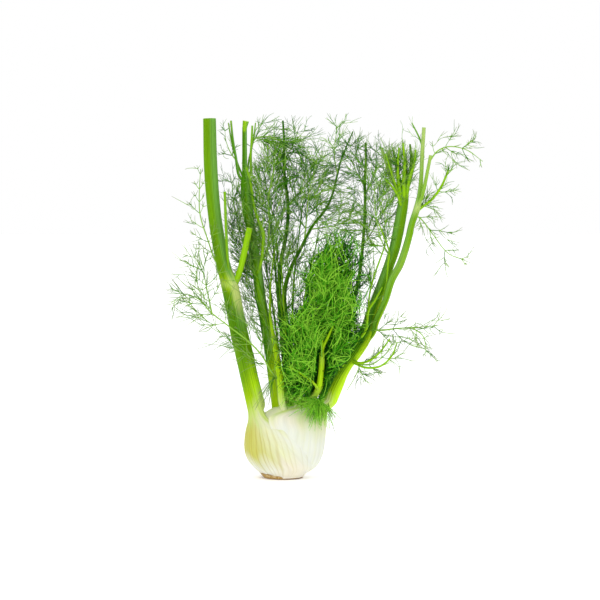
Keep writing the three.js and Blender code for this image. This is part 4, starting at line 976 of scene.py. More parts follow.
# Height and x of the line along which the right stalk's bare base begins, how far it goes to
# either side of that line, its heights, and the y behind which threads may grow.
BARE_BASE = [[82, 48], [100, 54], [116, 63], [135, 76], [155, 88]]
BARE_SIDES, BARE_HEIGHTS, BARE_DEPTH = (-3, 17), (84, 150), 4
# No thread hangs both further right and lower than this.
BARE_CORNER = (66, 96)
# Above this height the heart's dome stands out of the sheaths.
DOME_SHOWS = 66


def is_young(name):
    return FRONDS[name].get("young", False)


def is_sparse(name):
    """Whether a frond stands alone, with few threads."""
    return FRONDS[name].get("fill", 1.0) < 1


def columns_at(table, z):
    """The columns of a table at heights z, with straight lines between its rows."""
    heights, *columns = zip(*table)
    return [np.interp(z, heights, column) for column in columns]


def bent(root, middle, tip, steps):
    """A smooth line of points through three points."""
    t = np.linspace(0, 1, steps + 1)[:, None]
    pull = 2 * middle - 0.5 * (root + tip)
    return (1 - t) ** 2 * root + 2 * t * (1 - t) * pull + t * t * tip


class Thread:
    """A line of points with their radii, a tone from dark to light, and a level: 0 for a
    midrib, and one more for each fork away from it."""

    def __init__(self, owner, points, radii, tone, level):
        self.owner, self.points, self.radii = owner, points, radii
        self.tone, self.level = tone, level


class Threads:
    """The threads of every frond, and the places on them from which others may leave."""
    most = 120000

    def __init__(self, seed):
        self.draw = np.random.default_rng(seed)
        self.lines = []
        self.count = 0
        self.place = np.zeros((self.most, 3))
        self.along = np.zeros((self.most, 3))
        self.owner = np.zeros(self.most, int)

    def add(self, owner, points, r0, r1, level, carries=True):
        """Keeps a thread; one that carries others gives its points as places to leave from."""
        radii = r0 + (r1 - r0) * np.linspace(0, 1, len(points)) ** 1.3
        thread = Thread(owner, points, radii, self.draw.random(), level)
        self.lines.append(thread)
        if carries:
            self.carry(owner, points)
        return thread

    def carry(self, owner, points):
        step = points[1:] - points[:-1]
        n = len(step)
        self.place[self.count:self.count + n] = points[1:]
        self.along[self.count:self.count + n] = step / np.sqrt((step * step).sum(1))[:, None]
        self.owner[self.count:self.count + n] = owner
        self.count += n

    def grow(self, target, reach, habit, r, level, allowed, steps):
        """Grows a thread to a target from the place that suits its length and direction."""
        n, (curl, ahead_weight, forks) = self.count, habit
        away = target - self.place[:n]
        far = np.sqrt((away * away).sum(1)) + 1e-6
        ahead = (away * self.along[:n]).sum(1) / far
        cost = (np.abs(far - reach) / reach + ahead_weight * (1 - ahead)
                + NOT_ALLOWED * ~allowed[self.owner[:n]])
        k = int(np.argmin(cost))
        if far[k] > 1.5 * reach or cost[k] > DEAREST:
            return
        size = far[k]
        # The thread sets off along what bears it and then bends to its target.
        pull = (self.place[k] + self.along[k] * (0.3 * size) + away[k] * 0.2
                + self.draw.normal(size=3) * (curl * size))
        t = np.linspace(0, 1, steps + 1)[:, None]
        line = (1 - t) ** 2 * self.place[k] + 2 * t * (1 - t) * pull + t * t * target
        owner = int(self.owner[k])
        self.add(owner, line, r, r * 0.5, level)
        if self.draw.random() < forks:
            i = int(self.draw.integers(1, max(2, steps - 1)))
            along = unit(line[i + 1] - line[i])
            angle = math.radians(20 + 26 * self.draw.random())
            heading = leaving(along, angle, self.draw.random() * 2 * math.pi)
            long = size * (0.4 + 0.4 * self.draw.random())
            t = np.linspace(0, 1, max(3, steps))[:, None]
            bow = along * 0.25 + self.draw.normal(size=3) * curl
            fork = line[i] + heading * (long * t) + bow * (long * t * t)
            self.add(owner, fork, r * 0.85, r * 0.42, level + 1, False)


def cloud(draw, x, z, wide, high, near, far, count):
    """Places spread evenly through an upright oval between two depths."""
    turn, share = draw.random(count) * 2 * math.pi, np.sqrt(draw.random(count))
    depth = near + (far - near) * draw.random(count)
    # The oval is thinner in depth towards its rim.
    middle = (near + far) / 2
    depth = middle + (depth - middle) * (1 - 0.55 * share ** 2)
    return np.column_stack([x + wide * share * np.cos(turn), depth,
                            z + high * share * np.sin(turn)])


def add_skeleton(threads, owner, midribs, sparse, width, steps):
    """A frond's planned midribs, shoots and needles, slimmer than in its solid."""
    shoot_width, midrib_width, taper = (0.7, 0.9, 0.62) if sparse else (0.8, 0.8, 0.42)
    for route, shoots in midribs:
        count = max(8, int(route.length() / 3))
        places = np.arange(count + 1) / count
        spine = np.array([route.at(u) for u in places])
        radii = np.array([route.radius(u) for u in places])
        midrib = threads.add(owner, spine, 1, 1, 0)
        midrib.radii = radii * np.linspace(1, taper, count + 1) ** 0.8 * midrib_width
        midrib.tone = 1.1
        for shoot in shoots:
            threads.add(owner, bent(*shoot["line"], 8), SHOOT[0] * shoot_width, 0.26, 1)
            for root, middle, tip in shoot["needles"]:
                off = threads.draw.normal(size=3) * 0.07 * float(np.linalg.norm(tip - root))
                line = bent(root, middle + off, tip, steps + 1)
                threads.add(owner, line, width, width * 0.5, 2)


def dress_frond(threads, owner, spec, only, width, steps):
    """Fine threads close to a frond's own shoots. A young frond gets most of its threads
    later, from the air that it fills."""
    draw, young = threads.draw, spec.get("young", False)
    mine = np.flatnonzero(threads.owner[:threads.count] == owner)
    share = 0.15 if young else 0.45 * spec.get("fill", 0.78) ** 1.5
    habit = HABITS["young" if young else "sparse"]
    for k in draw.choice(mine, int(len(mine) * share)):
        spread = draw.normal(size=3) * np.array([1, 0.75, 1]) * spec["reach"] * 0.33
        target = threads.place[k] + threads.along[k] * 6 + spread
        reach = spec["reach"] * (0.45 + 0.45 * draw.random())
        threads.grow(target, reach, habit, width, 2, only, steps)


def fill_air(threads, mass, allowed, sizes):
    """Threads that fill the air of a mass of fronds evenly."""
    draw, (low, high) = threads.draw, mass["lengths"]
    targets = np.concatenate([cloud(draw, *row) for row in mass["air"]])
    targets = targets[draw.permutation(len(targets))]
    width = getattr(sizes, mass["thread"]) / MM / 2
    for target in targets:
        outside = target[1] < mass["outside"]
        reach = (low + (high - low) * draw.random()) * (1.25 if outside else 1)
        thick = width * (0.8 + 0.4 * draw.random()) * (1.3 if outside else 1)
        threads.grow(target, reach, HABITS[mass["habit"]], thick, 3, allowed,
                     sizes.steps + mass["more_steps"])


def add_tuft(threads, owner, young, width, steps, middle, heading, spread, count, longest):
    """A tuft of short threads, most of which fork."""
    draw = threads.draw
    t = np.linspace(0, 1, steps + 2)[:, None]
    for _ in range(count):
        size = longest * (0.5 + 0.5 * draw.random())
        way = unit(np.array(heading) + draw.normal(size=3) * spread * 0.5)
        root = np.array(middle) + draw.normal(size=3) * 0.8
        bow = draw.normal(size=3) * 0.22 + np.array([0, 0, -0.12])
        line = root + way * (size * t) + bow * (size * t * t)
        thread = threads.add(owner, line, width, width * 0.5, 2)
        if young:
            thread.tone = 0.35 + 0.8 * draw.random()
        if draw.random() < 0.7:
            side = leaving(way, math.radians(30), draw.random() * 2 * math.pi)
            fork = line[2] + side * (0.5 * size * t[:-1]) + bow * (0.3 * size * t[:-1])
            threads.add(owner, fork, width * 0.85, width * 0.4, 3, False)


def plan_threads(planned, sizes):
    """Every frond's threads: its planned skeleton, dressed with fine threads that fill the
    air around it."""
    names = list(planned)
    threads = Threads(THREAD_SEED)
    young = np.array([is_young(name) for name in names])
    sparse = np.array([is_sparse(name) for name in names])
    widths = [(sizes.young_thread if y else sizes.thread) / MM / 2 * (1.15 if few else 1)
              for y, few in zip(young, sparse)]
    for owner, name in enumerate(names):
        add_skeleton(threads, owner, planned[name], sparse[owner], widths[owner], sizes.steps)
    # Threads may leave from the outer parts of the thin petioles too.
    bearers = list(zip(HEART_PETIOLES, PETIOLE_FRONDS))
    bearers += [(stem, "frond_right_inner") for stem in RIGHT_CROWN + RIGHT_PETIOLES]
    for (points, _), name in bearers:
        route = Route(points)
        threads.carry(names.index(name),
                      np.array([route.at(0.3 + 0.7 * k / 24) for k in range(25)]))
    for owner, name in enumerate(names):
        dress_frond(threads, owner, FRONDS[name], np.arange(len(names)) == owner,
                    widths[owner], sizes.steps)
    fill_air(threads, OLD_MASS, ~young & ~sparse, sizes)
    fill_air(threads, YOUNG_MASS, young, sizes)
    for name, *tuft in TUFTS:
        owner = names.index(name)
        add_tuft(threads, owner, young[owner], widths[owner], sizes.steps, *tuft)
    return threads


def cut_clear(threads, taken, stalk_count):
    """Ends each thread where it would enter a stalk or the bulb or pass the object's reach;
    gives the threads of each frond."""
    low = np.array(cad_low) / MM - PASSING * [1, 1, 0]
    high = np.array(cad_high) / MM + PASSING
    start, along = taken.start[1:stalk_count], taken.along[1:stalk_count]
    square = (along * along).sum(1)
    thick = taken.radius[1:stalk_count] - 0.3
    kept = {}
    for thread in threads.lines:
        if thread.level:
            points = thread.points
            s = points[:, None, :] - start[None]
            q = np.clip((s * along[None]).sum(2) / square, 0, 1)
            gap = np.sqrt(((s - along[None] * q[..., None]) ** 2).sum(2)) - thick
            bad = (gap < 0).any(1) | (points < low).any(1) | (points > high).any(1)
            bad |= in_bulb(points)
            # A thread's root lies inside what bears it.
            bad[:2] = False
            bad[1:] |= in_clearing(points)[1:] | in_clearing((points[1:] + points[:-1]) / 2)
            if bad.any():
                stop = int(np.argmax(bad))
                if stop < 3:
                    continue
                thread.points, thread.radii = points[:stop], thread.radii[:stop]
        kept.setdefault(thread.owner, []).append(thread)
    return kept


def in_clearing(points):
    """Which points lie where no thread grows: in front of the young fronds' pale stem, which
    they would hide, or in the open beside the right stalk's base, whose outer side is bare."""
    def between(values, low, high):
        return (values > low) & (values < high)

    x, y, z = points.T
    edge, = columns_at(BARE_BASE, z)
    bare = between(x - edge, *BARE_SIDES) & (y < BARE_DEPTH) & between(z, *BARE_HEIGHTS)
    bare |= (x > BARE_CORNER[0]) & (z < BARE_CORNER[1])
    middle, depth, room = columns_at(PALE_STEM, z)
    return bare | ((np.abs(x - middle) < room) & (y < depth) & between(z, *PALE_HEIGHTS))


def in_bulb(points):
    """Which points lie inside the bulb: in its sheaths, or higher up in the heart's dome."""
    found = np.zeros(len(points), bool)
    for i, (x, y, z) in enumerate(points):
        if z < HEART_DOME[-1][0]:
            _, left, right, depth = row_at(BULB if z < DOME_SHOWS else HEART_DOME, z)
            found[i] = (((2 * x - left - right) / (right - left + 1)) ** 2
                        + (y / (depth + 0.5)) ** 2) < 1
    return found


def painted_shade_in_mass(points, mass):
    """Painted shade for points in a mass of fronds: it grows from 0 at the mass's rim and beyond
    to its most in the middle, more is added behind the mass, and it fades out below 104 mm and is
    gone below 84 mm.
    """
    found = np.zeros(len(points))
    for x, z, wide, high, near, far, _ in mass["air"]:
        share = np.sqrt(((points[:, 0] - x) / wide) ** 2 + ((points[:, 2] - z) / high) ** 2
                        + ((2 * points[:, 1] - near - far) / (far - near)) ** 2)
        found = np.maximum(found, 1 - share)
    found = mass["inside"] * smooth(found, 0.1, 0.7)
    found = found + mass["behind"] * smooth(points[:, 1], *mass["depths"])
    return found * smooth(points[:, 2], 84, 104)


def thread_mesh(name, threads, mass, dryness):
    """Tubes along threads, made as one curve and turned into a mesh. dryness is how strongly
    the threads turn grey towards their tips."""
    curve = bpy.data.curves.new(name, "CURVE")
    curve.dimensions = "3D"
    curve.bevel_depth = MM
    curve.bevel_resolution = 0
    curve.use_fill_caps = True
    marks = []
    for thread in threads:
        points, count = thread.points, len(thread.points)
        spline = curve.splines.new("POLY")
        spline.points.add(count - 1)
        place = np.column_stack([points * MM, np.ones(count)])
        spline.points.foreach_set("co", place.ravel())
        spline.points.foreach_set("radius", thread.radii)
        spline.use_smooth = True
        driest = min(1, thread.level * dryness / 3)
        # A point's marks: the thread's tone, how dry it is there, and painted shade for lying deep
        # in or behind its mass; midribs get no shade.
        marks.append(np.column_stack([np.full(count, thread.tone),
                                      np.linspace(0, driest, count),
                                      painted_shade_in_mass(points, mass) * (thread.level > 0)]))
    holder = bpy.data.objects.new(name + "_routes", curve)
    mesh = bpy.data.meshes.new_from_object(holder)
    bpy.data.objects.remove(holder)
    bpy.data.curves.remove(curve)
    mesh.name = name
    # The mesh holds the caps first, from the last thread to the first, and then the tubes.
    caps = [mark[[-1, 0]] for mark in reversed(marks)]
    values = np.repeat(np.concatenate(caps + marks), 4, axis=0).astype(np.float32)
    for column, key in enumerate(("tone", "tip", "deep")):
        layer = mesh.attributes.new(key, "FLOAT", "POINT")
        layer.data.foreach_set("value", values[:, column].copy())
    bm = bmesh.new()
    bm.from_mesh(mesh)
    bmesh.ops.remove_doubles(bm, verts=bm.verts, dist=1e-7)
    bm.to_mesh(mesh)
    bm.free()
    return mesh


# ------------------------------------------------------------------ finishes
# How often veins and broad streaks repeat outwards, forwards and along, for each unit of grain.
VEINS = (11, 11, 24)
STREAKS = (2.6, 2.6, 9)


def add_node(tree, kind, inputs=None, stops=None, **settings):
    """Adds a shader node with its settings; an input is a value or another node's output. A
    mix node's inputs are 0 for its share, 2 and 3 for two numbers, and 6 and 7 for colours."""
    made = tree.nodes.new("ShaderNode" + kind)
    for key, value in settings.items():
        setattr(made, key, value)
    for key, value in (inputs or {}).items():
        if isinstance(value, bpy.types.NodeSocket):
            tree.links.new(value, made.inputs[key])
        else:
            made.inputs[key].default_value = value
    if stops:
        elements = made.color_ramp.elements
        while len(elements) < len(stops):
            elements.new(0.5)
        for element, (position, value) in zip(elements, stops):
            element.position = position
            element.color = (*value, 1)
    return made


def new_material(name):
    material = bpy.data.materials.new(name)
    material.use_nodes = True
    tree = material.node_tree
    tree.nodes.clear()
    return material, tree


def close_material(tree, inputs):
    shader = add_node(tree, "BsdfPrincipled", inputs)
    add_node(tree, "OutputMaterial", {"Surface": shader.outputs[0]})


def palette(scene):
    """Every named colour of the fennel."""
    found = {}
    for group in (scene.fennel_bulb, scene.fennel_stalks, scene.fennel_fronds):
        for key in group.bl_rna.properties.keys():
            value = getattr(group, key, None)
            if hasattr(value, "hsv"):
                found[key] = tuple(value)
    return found


def petiole_material(name, scene, ramps, rib_line, rib_heights, tint="fresh"):
    """Fresh fennel leaf base and stalk: firm, water-filled flesh under a thin waxy skin.
    It gives a soft satin shine, light that enters and spreads a little way, and fine veins
    that run lengthwise. ramps are the colours by height on the outer, front and inner side,
    and tint is the colour of the bright side stems."""
    colours = palette(scene)
    material, tree = new_material(name)
    grain = add_node(tree, "Attribute", attribute_name="grain")
    mark = add_node(tree, "Attribute", attribute_name="mark")
    place = add_node(tree, "TexCoord")
    turn = add_node(tree, "SeparateXYZ", {0: grain.outputs["Vector"]})
    marks = add_node(tree, "SeparateXYZ", {0: mark.outputs["Vector"]})
    height = add_node(tree, "SeparateXYZ", {0: place.outputs["Object"]})
    # Veins are about 0.8 mm apart round the stalk and run on for some 40 mm.
    veins_at = add_node(tree, "VectorMath", {0: grain.outputs["Vector"], 1: VEINS},
                        operation="MULTIPLY")
    veins = add_node(tree, "TexNoise", {"Vector": veins_at.outputs[0], "Scale": 1.0,
                                        "Detail": 3.0, "Roughness": 0.6})
    # Broad streaks, 4 mm wide on a stalk, carry the green up to 17 mm up or down.
    broad_at = add_node(tree, "VectorMath", {0: grain.outputs["Vector"], 1: STREAKS},
                        operation="MULTIPLY")
    broad = add_node(tree, "TexNoise", {"Vector": broad_at.outputs[0], "Scale": 1.0,
                                        "Detail": 2.0})
    shift = add_node(tree, "Math", {0: broad.outputs["Fac"], 1: 34 * MM, 2: -17 * MM},
                     operation="MULTIPLY_ADD")
    level = add_node(tree, "Math", {0: height.outputs["Z"], 1: shift.outputs[0]}, operation="ADD")
    level = add_node(tree, "Math", {0: level.outputs[0], 1: STALK_TOP * MM}, operation="DIVIDE")
    sides = [add_node(tree, "ValToRGB", {0: level.outputs[0]},
                      stops=[(z / STALK_TOP, colours[key]) for z, key in ramp])
             for ramp in ramps]
    outward = add_node(tree, "MapRange", {"Value": turn.outputs["X"],
                                          "From Min": 0.1, "From Max": 0.85},
                       interpolation_type="SMOOTHSTEP")
    inward = add_node(tree, "MapRange", {"Value": turn.outputs["X"],
                                         "From Min": 0.2, "From Max": -0.5},
                      interpolation_type="SMOOTHSTEP")
    skin = add_node(tree, "Mix", {0: outward.outputs[0], 6: sides[1].outputs[0],
                                  7: sides[0].outputs[0]}, data_type="RGBA")
    skin = add_node(tree, "Mix", {0: inward.outputs[0], 6: skin.outputs[2],
                                  7: sides[2].outputs[0]}, data_type="RGBA")
    # The side stems' own tint begins above the bulb.
    greened = add_node(tree, "MapRange", {"Value": height.outputs["Z"],
                                          "From Min": 78 * MM, "From Max": 104 * MM})
    bright = add_node(tree, "Math", {0: marks.outputs["Y"], 1: greened.outputs[0]},
                      operation="MULTIPLY")
    fresh = add_node(tree, "Mix", {0: bright.outputs[0], 6: skin.outputs[2],
                                   7: (*colours[tint], 1)}, data_type="RGBA")
    groove = add_node(tree, "MapRange", {"Value": marks.outputs["X"], "From Min": 0.0,
                                         "From Max": 0.62, "To Min": 1.0, "To Max": 0.0},
                      interpolation_type="SMOOTHSTEP")
    window = add_node(tree, "ValToRGB", {0: level.outputs[0]},
                      stops=[(z / STALK_TOP, (amount,) * 3) for z, amount in rib_heights])
    # The lines are strongest on the side that grew in the light.
    sunned = add_node(tree, "MapRange", {"Value": turn.outputs["X"],
                                         "From Min": -0.1, "From Max": 0.75,
                                         "To Min": 0.3, "To Max": 1.0})
    lined = add_node(tree, "Math", {0: groove.outputs[0], 1: window.outputs[0]},
                     operation="MULTIPLY")
    lined = add_node(tree, "Math", {0: lined.outputs[0], 1: sunned.outputs[0]},
                     operation="MULTIPLY")
    ribbed = add_node(tree, "Mix", {0: lined.outputs[0], 6: fresh.outputs[2],
                                    7: (*colours[rib_line], 1)}, data_type="RGBA")
    # Veins are faint on the white bulb and plain on the green stalks, and so are grooves.
    contrast = add_node(tree, "MapRange", {"Value": height.outputs["Z"],
                                           "From Min": 60 * MM, "From Max": 130 * MM,
                                           "To Min": 0.22, "To Max": 1.0})
    shade = add_node(tree, "Math", {0: veins.outputs["Fac"], 1: 0.5}, operation="SUBTRACT")
    shade = add_node(tree, "Math", {0: shade.outputs[0], 1: contrast.outputs[0]},
                     operation="MULTIPLY")
    shade = add_node(tree, "Math", {0: shade.outputs[0], 1: 1.1, 2: 1.0}, operation="MULTIPLY_ADD")
    dark_groove = add_node(tree, "MapRange", {"Value": height.outputs["Z"],
                                              "From Min": 70 * MM, "From Max": 120 * MM,
                                              "To Min": 0.0, "To Max": 0.32})
    darker = add_node(tree, "Math", {0: groove.outputs[0], 1: dark_groove.outputs[0]},
                      operation="MULTIPLY")
    value = add_node(tree, "Math", {0: shade.outputs[0], 1: darker.outputs[0]},
                     operation="SUBTRACT")
    veined = add_node(tree, "HueSaturation", {"Value": value.outputs[0],
                                              "Color": ribbed.outputs[2]})
    # A cut end shows the pith's soft mottling, about 1 mm across.
    pith = add_node(tree, "TexNoise", {"Vector": place.outputs["Object"], "Scale": 900.0,
                                       "Detail": 2.0})
    pith_colour = add_node(tree, "Mix", {0: pith.outputs["Fac"], 6: (*colours["pith"], 1),
                                         7: (*colours["pale"], 1)}, data_type="RGBA")
    final = add_node(tree, "Mix", {0: marks.outputs["Z"], 6: veined.outputs[0],
                                   7: pith_colour.outputs[2]}, data_type="RGBA")
    rough = add_node(tree, "MapRange", {"Value": veins.outputs["Fac"],
                                        "To Min": 0.33, "To Max": 0.52})
    bump = add_node(tree, "Bump", {"Height": veins.outputs["Fac"],
                                   "Strength": 0.5, "Distance": 0.25 * MM})
    close_material(tree, {"Base Color": final.outputs[2], "Roughness": rough.outputs[0],
                          "Normal": bump.outputs[0], "IOR": 1.42,
                          "Specular IOR Level": 0.08, "Subsurface Weight": 0.2,
                          "Subsurface Scale": 2 * MM, "Subsurface Radius": (1.0, 0.9, 0.3)})
    return material


def thread_material(name, scene, dark, middle, light, tip, gloss):
    """Fennel thread leaves: round, smooth green threads half a millimetre thick with a
    grey wax bloom. They give a dull shine, each thread has a green of its own, and those
    deep in the frond or behind it get painted shade, darker than the ones that reach the light."""
    colours = palette(scene)
    material, tree = new_material(name)
    tone = add_node(tree, "Attribute", attribute_name="tone")
    along = add_node(tree, "Attribute", attribute_name="tip")
    deep = add_node(tree, "Attribute", attribute_name="deep")
    # deep carries the painted shade of threads deep in or behind their mass.
    place = add_node(tree, "TexCoord")
    # Tips turn grey only as far as the threads are free of painted shade.
    unshaded = add_node(tree, "Math", {0: 1.0, 1: deep.outputs["Fac"]}, operation="SUBTRACT")
    # Patches of 25 mm are lighter or darker as a whole, as the fronds age unevenly.
    patches = add_node(tree, "TexNoise", {"Vector": place.outputs["Object"],
                                          "Scale": 40.0, "Detail": 2.0})
    # A thread's green comes from its own tone, its patch and the painted shade of how deep it
    # lies.
    mixed = add_node(tree, "Math", {0: tone.outputs["Fac"], 1: 0.8, 2: -0.2},
                     operation="MULTIPLY_ADD")
    mixed = add_node(tree, "Math", {0: mixed.outputs[0], 1: patches.outputs["Fac"]},
                     operation="ADD")
    mixed = add_node(tree, "Math", {0: deep.outputs["Fac"], 1: -0.75,
                                    2: mixed.outputs[0]}, operation="MULTIPLY_ADD",
                     use_clamp=True)
    green = add_node(tree, "ValToRGB", {0: mixed.outputs[0]},
                     stops=[(0.12, colours[dark]), (0.5, colours[middle]),
                            (0.95, colours[light])])
    dry = add_node(tree, "MapRange", {"Value": along.outputs["Fac"],
                                      "From Min": 0.3, "To Max": 0.85})
    dry = add_node(tree, "Math", {0: dry.outputs[0], 1: unshaded.outputs[0]}, operation="MULTIPLY")
    final = add_node(tree, "Mix", {0: dry.outputs[0], 6: green.outputs[0],
                                   7: (*colours[tip], 1)}, data_type="RGBA")
    bloom = add_node(tree, "MapRange", {"Value": patches.outputs["Fac"],
                                        "To Min": 0.42, "To Max": 0.6})
    close_material(tree, {"Base Color": final.outputs[2], "Roughness": bloom.outputs[0],
                          "IOR": 1.4, "Specular IOR Level": gloss})
    return material


def root_material(scene):
    """Cut fennel root: dry, fibrous wood-like flesh, browned by air. It is dull, streaked
    from the middle outwards and darkest along the torn skin."""
    colours = palette(scene)
    material, tree = new_material("root_cut_dry")
    place = add_node(tree, "TexCoord")
    mark = add_node(tree, "Attribute", attribute_name="mark")
    marks = add_node(tree, "SeparateXYZ", {0: mark.outputs["Vector"]})
    # Fibres are about 2 mm apart and split finer, and rot spreads in patches of 11 mm.
    fibres = add_node(tree, "TexNoise", {"Vector": place.outputs["Object"],
                                         "Scale": 420.0, "Detail": 4.0,
                                         "Roughness": 0.7})
    rot = add_node(tree, "TexNoise", {"Vector": place.outputs["Object"],
                                      "Scale": 90.0, "Detail": 3.0})
    flesh = add_node(tree, "ValToRGB", {0: fibres.outputs["Fac"]},
                     stops=[(0.3, colours["bark"]), (0.5, colours["tan"]),
                            (0.72, colours["cream"])])
    spread = add_node(tree, "Math", {0: rot.outputs["Fac"], 1: 0.9, 2: -0.45},
                      operation="MULTIPLY_ADD")
    skin = add_node(tree, "Math", {0: marks.outputs["X"], 1: spread.outputs[0]},
                    operation="ADD", use_clamp=True)
    final = add_node(tree, "Mix", {0: skin.outputs[0], 6: flesh.outputs[0],
                                   7: (*colours["bark"], 1)}, data_type="RGBA")
    bump = add_node(tree, "Bump", {"Height": fibres.outputs["Fac"],
                                   "Strength": 0.8, "Distance": 0.5 * MM})
    close_material(tree, {"Base Color": final.outputs[2], "Roughness": 0.8,
                          "Normal": bump.outputs[0]})
    return material


def paper_material(scene):
    """Seamless studio paper: matt, with fibres too fine to see, drawn as faint mottling."""
    material, tree = new_material("studio_paper")
    place = add_node(tree, "TexCoord")
    fibres = add_node(tree, "TexNoise", {"Vector": place.outputs["Object"],
                                         "Scale": 60.0, "Detail": 2.0})
    tone = tuple(scene.fennel_stage.floor)
    mottled = add_node(tree, "Mix", {0: fibres.outputs["Fac"], 6: (*tone, 1),
                                     7: (*[t * 0.985 for t in tone], 1)},
                       data_type="RGBA")
    # The paper is lit from behind as well, which leaves only a faint shadow on it.
    close_material(tree, {"Base Color": mottled.outputs[2], "Roughness": 0.9,
                          "Emission Color": (1, 1, 1, 1), "Emission Strength": 0.22})
    return material


# ------------------------------------------------------------------ pieces
class FENNEL_OT_root_plate(bpy.types.Operator):
    """Make the cut root plate, with a torn lip of brown skin on its left"""
    bl_idname = "fennel.root_plate"
    bl_label = "Root plate"

    def execute(self, context):
        sides = 120
        around = np.linspace(0, 2 * math.pi, sides, endpoint=False)
        lip = np.maximum(0, np.cos(around - math.radians(203))) ** 1.4
        rough = np.array([noise.noise(Vector((3 * math.cos(a), 3 * math.sin(a), 0.5)))
                          + 0.6 * noise.noise(Vector((9 * math.cos(a), 9 * math.sin(a), 2)))
                          for a in around])
        # The skin's torn edge, which stands up and out on the side of the lip.
        top = 1.5 + 4.9 * lip + (0.25 + 0.9 * lip) * rough
        out = -1.3 + 1.9 * smooth(lip, 0.05, 0.5)

        def ring(z, offset, scale=1.0, skin=0.0):
            """A ring at heights z, offset from the bulb's outline; skin is how brown it is."""
            points = []
            levels, offsets = np.broadcast_to(z, sides), np.broadcast_to(offset, sides)
            for a, level, shift, bump in zip(around, levels, offsets, rough):
                centre, half, depth = bulb_at(max(level, FOOT))
                shift = shift + 0.35 * bump
                points.append([centre + (half + shift) * scale * math.cos(a),
                               (depth + shift) * scale * math.sin(a), level])
            marks = np.column_stack([np.broadcast_to(skin, sides), np.zeros((sides, 2))])
            return np.array(points), np.zeros((sides, 3)), marks

        # The cut from its middle outwards, the skin up to its torn edge, and back inside.
        rings = [ring(0.35, -1.0, s) for s in (0.08, 0.35, 0.65)]
        rings += [ring(0.05, -1.0, 0.9, 0.1), ring(0.0, -0.9, 0.97, 0.5),
                  ring(0.25, -0.5, 1.0, 0.9), ring(0.8, np.minimum(out, -0.2), 1.0, 0.6)]
        rings += [ring(0.8 + (top - 0.8) * s, out + 0.25 * math.sin(3 * s), 1.0, skin)
                  for s, skin in ((0.35, 0.15), (0.7, 0.1), (1.0, 0.5))]
        rings += [ring(top - 0.15, out - 0.5, 1.0, 0.8), ring(np.minimum(top, 1.8), -2.2),
                  ring(1.8, -2.5, 0.7), ring(1.8, -2.5, 0.2)]
        bm = new_bmesh()
        add_loft(bm, rings)
        mesh = finish_mesh(bm, "root_cut")
        add_piece(mesh, "root_cut", root_material(context.scene), "root_plate", "root_plate")
        return {"FINISHED"}


class FENNEL_OT_left_leaf(bpy.types.Operator):
    """Make the left leaf: ribbed outer sheath, thick stalk, cut stub and side stem"""
    bl_idname = "fennel.left_leaf"
    bl_label = "Left leaf"

    def execute(self, context):
        bulb, stalks = context.scene.fennel_bulb, context.scene.fennel_stalks
        bm = new_bmesh()
        add_loft(bm, leaf_rings(LEFT_LEAF, bulb.rib / MM, stalks.ridge / MM))
        for points, tint in LEFT_BRANCHES:
            add_loft(bm, stem_rings(points, tint, stalks.ridge / MM, -1))
        mesh = finish_mesh(bm, "left_leaf_finished")
        ramps = [
            [(0, "cream"), (12, "white"), (30, "straw"), (52, "straw"), (66, "pale"),
             (82, "lime"), (108, "leaf"), (150, "leaf"), (190, "grass"), (205, "leaf"),
             (214, "lime"), (226, "leaf"), (400, "leaf")],
            [(0, "cream"), (16, "cream"), (32, "ivory"), (58, "ivory"),
             (76, "pale"), (88, "lime"), (122, "leaf"), (160, "grass"), (182, "leaf"),
             (202, "leaf"), (209, "lime"), (217, "lime"), (226, "leaf"), (400, "leaf")],
            [(0, "cream"), (20, "white"), (52, "white"), (62, "ivory"), (72, "pale"),
             (84, "pale"), (102, "shoot"), (134, "leaf"), (155, "leaf"), (176, "sage"),
             (196, "pale"), (214, "pale"), (232, "sage"), (400, "sage")],
        ]
        material = petiole_material("outer_sheath_fresh", context.scene, ramps, "ochre",
                                    [(0, 0.0), (8, 0.25), (20, 0.55), (52, 0.6), (66, 0.15),
                                     (80, 0.0)])
        add_piece(mesh, "left_leaf_finished", material, "leaf_left", "leaf_left")
        return {"FINISHED"}


class FENNEL_OT_right_leaf(bpy.types.Operator):
    """Make the right leaf: smooth white sheath, leaning stalk and its side stems"""
    bl_idname = "fennel.right_leaf"
    bl_label = "Right leaf"

    def execute(self, context):
        stalks = context.scene.fennel_stalks
        bm = new_bmesh()
        add_loft(bm, leaf_rings(RIGHT_LEAF, RIGHT_LEAF["rib_height"], stalks.ridge / MM))
        (thick, tint), *others = RIGHT_BRANCHES
        for points, tint in [([RIGHT_STEM_ROOT, *thick], tint), *others]:
            add_loft(bm, stem_rings(points, tint, stalks.ridge / MM, 1, joints=RIGHT_JOINTS))
        for points, tint in RIGHT_CROWN + RIGHT_PETIOLES:
            add_loft(bm, stem_rings(points, tint, PETIOLE_RIDGE, 1, sides=8, ribs=0))
        mesh = finish_mesh(bm, "right_leaf_finished")
        # On the outer side, the shoot green from 84 to 132 mm is painted light: the stalk's base
        # is drawn lighter than its own lime to make up for the young fronds' shade.
        ramps = [
            [(0, "cream"), (12, "white"), (40, "white"), (58, "ivory"), (70, "pale"),
             (84, "shoot"), (132, "shoot"), (150, "lime"), (180, "lime"), (206, "leaf"),
             (310, "leaf"), (400, "sage")],
            [(0, "cream"), (14, "cream"), (26, "white"), (52, "white"),
             (66, "cream"), (77, "ivory"), (86, "pale"), (95, "lime"), (116, "leaf"),
             (146, "grass"), (168, "deep"), (200, "grass"), (236, "leaf"), (400, "leaf")],
            [(0, "white"), (60, "white"), (72, "ivory"), (82, "pale"), (98, "leaf"),
             (120, "leaf"), (150, "grass"), (200, "sage"), (400, "sage")],
        ]
        material = petiole_material("inner_sheath_fresh", context.scene, ramps, "ivory",
                                    [(0, 0.0), (10, 0.2), (50, 0.3), (62, 0.1), (70, 0.0)])
        add_piece(mesh, "right_leaf_finished", material, "leaf_right", "leaf_right")
        return {"FINISHED"}


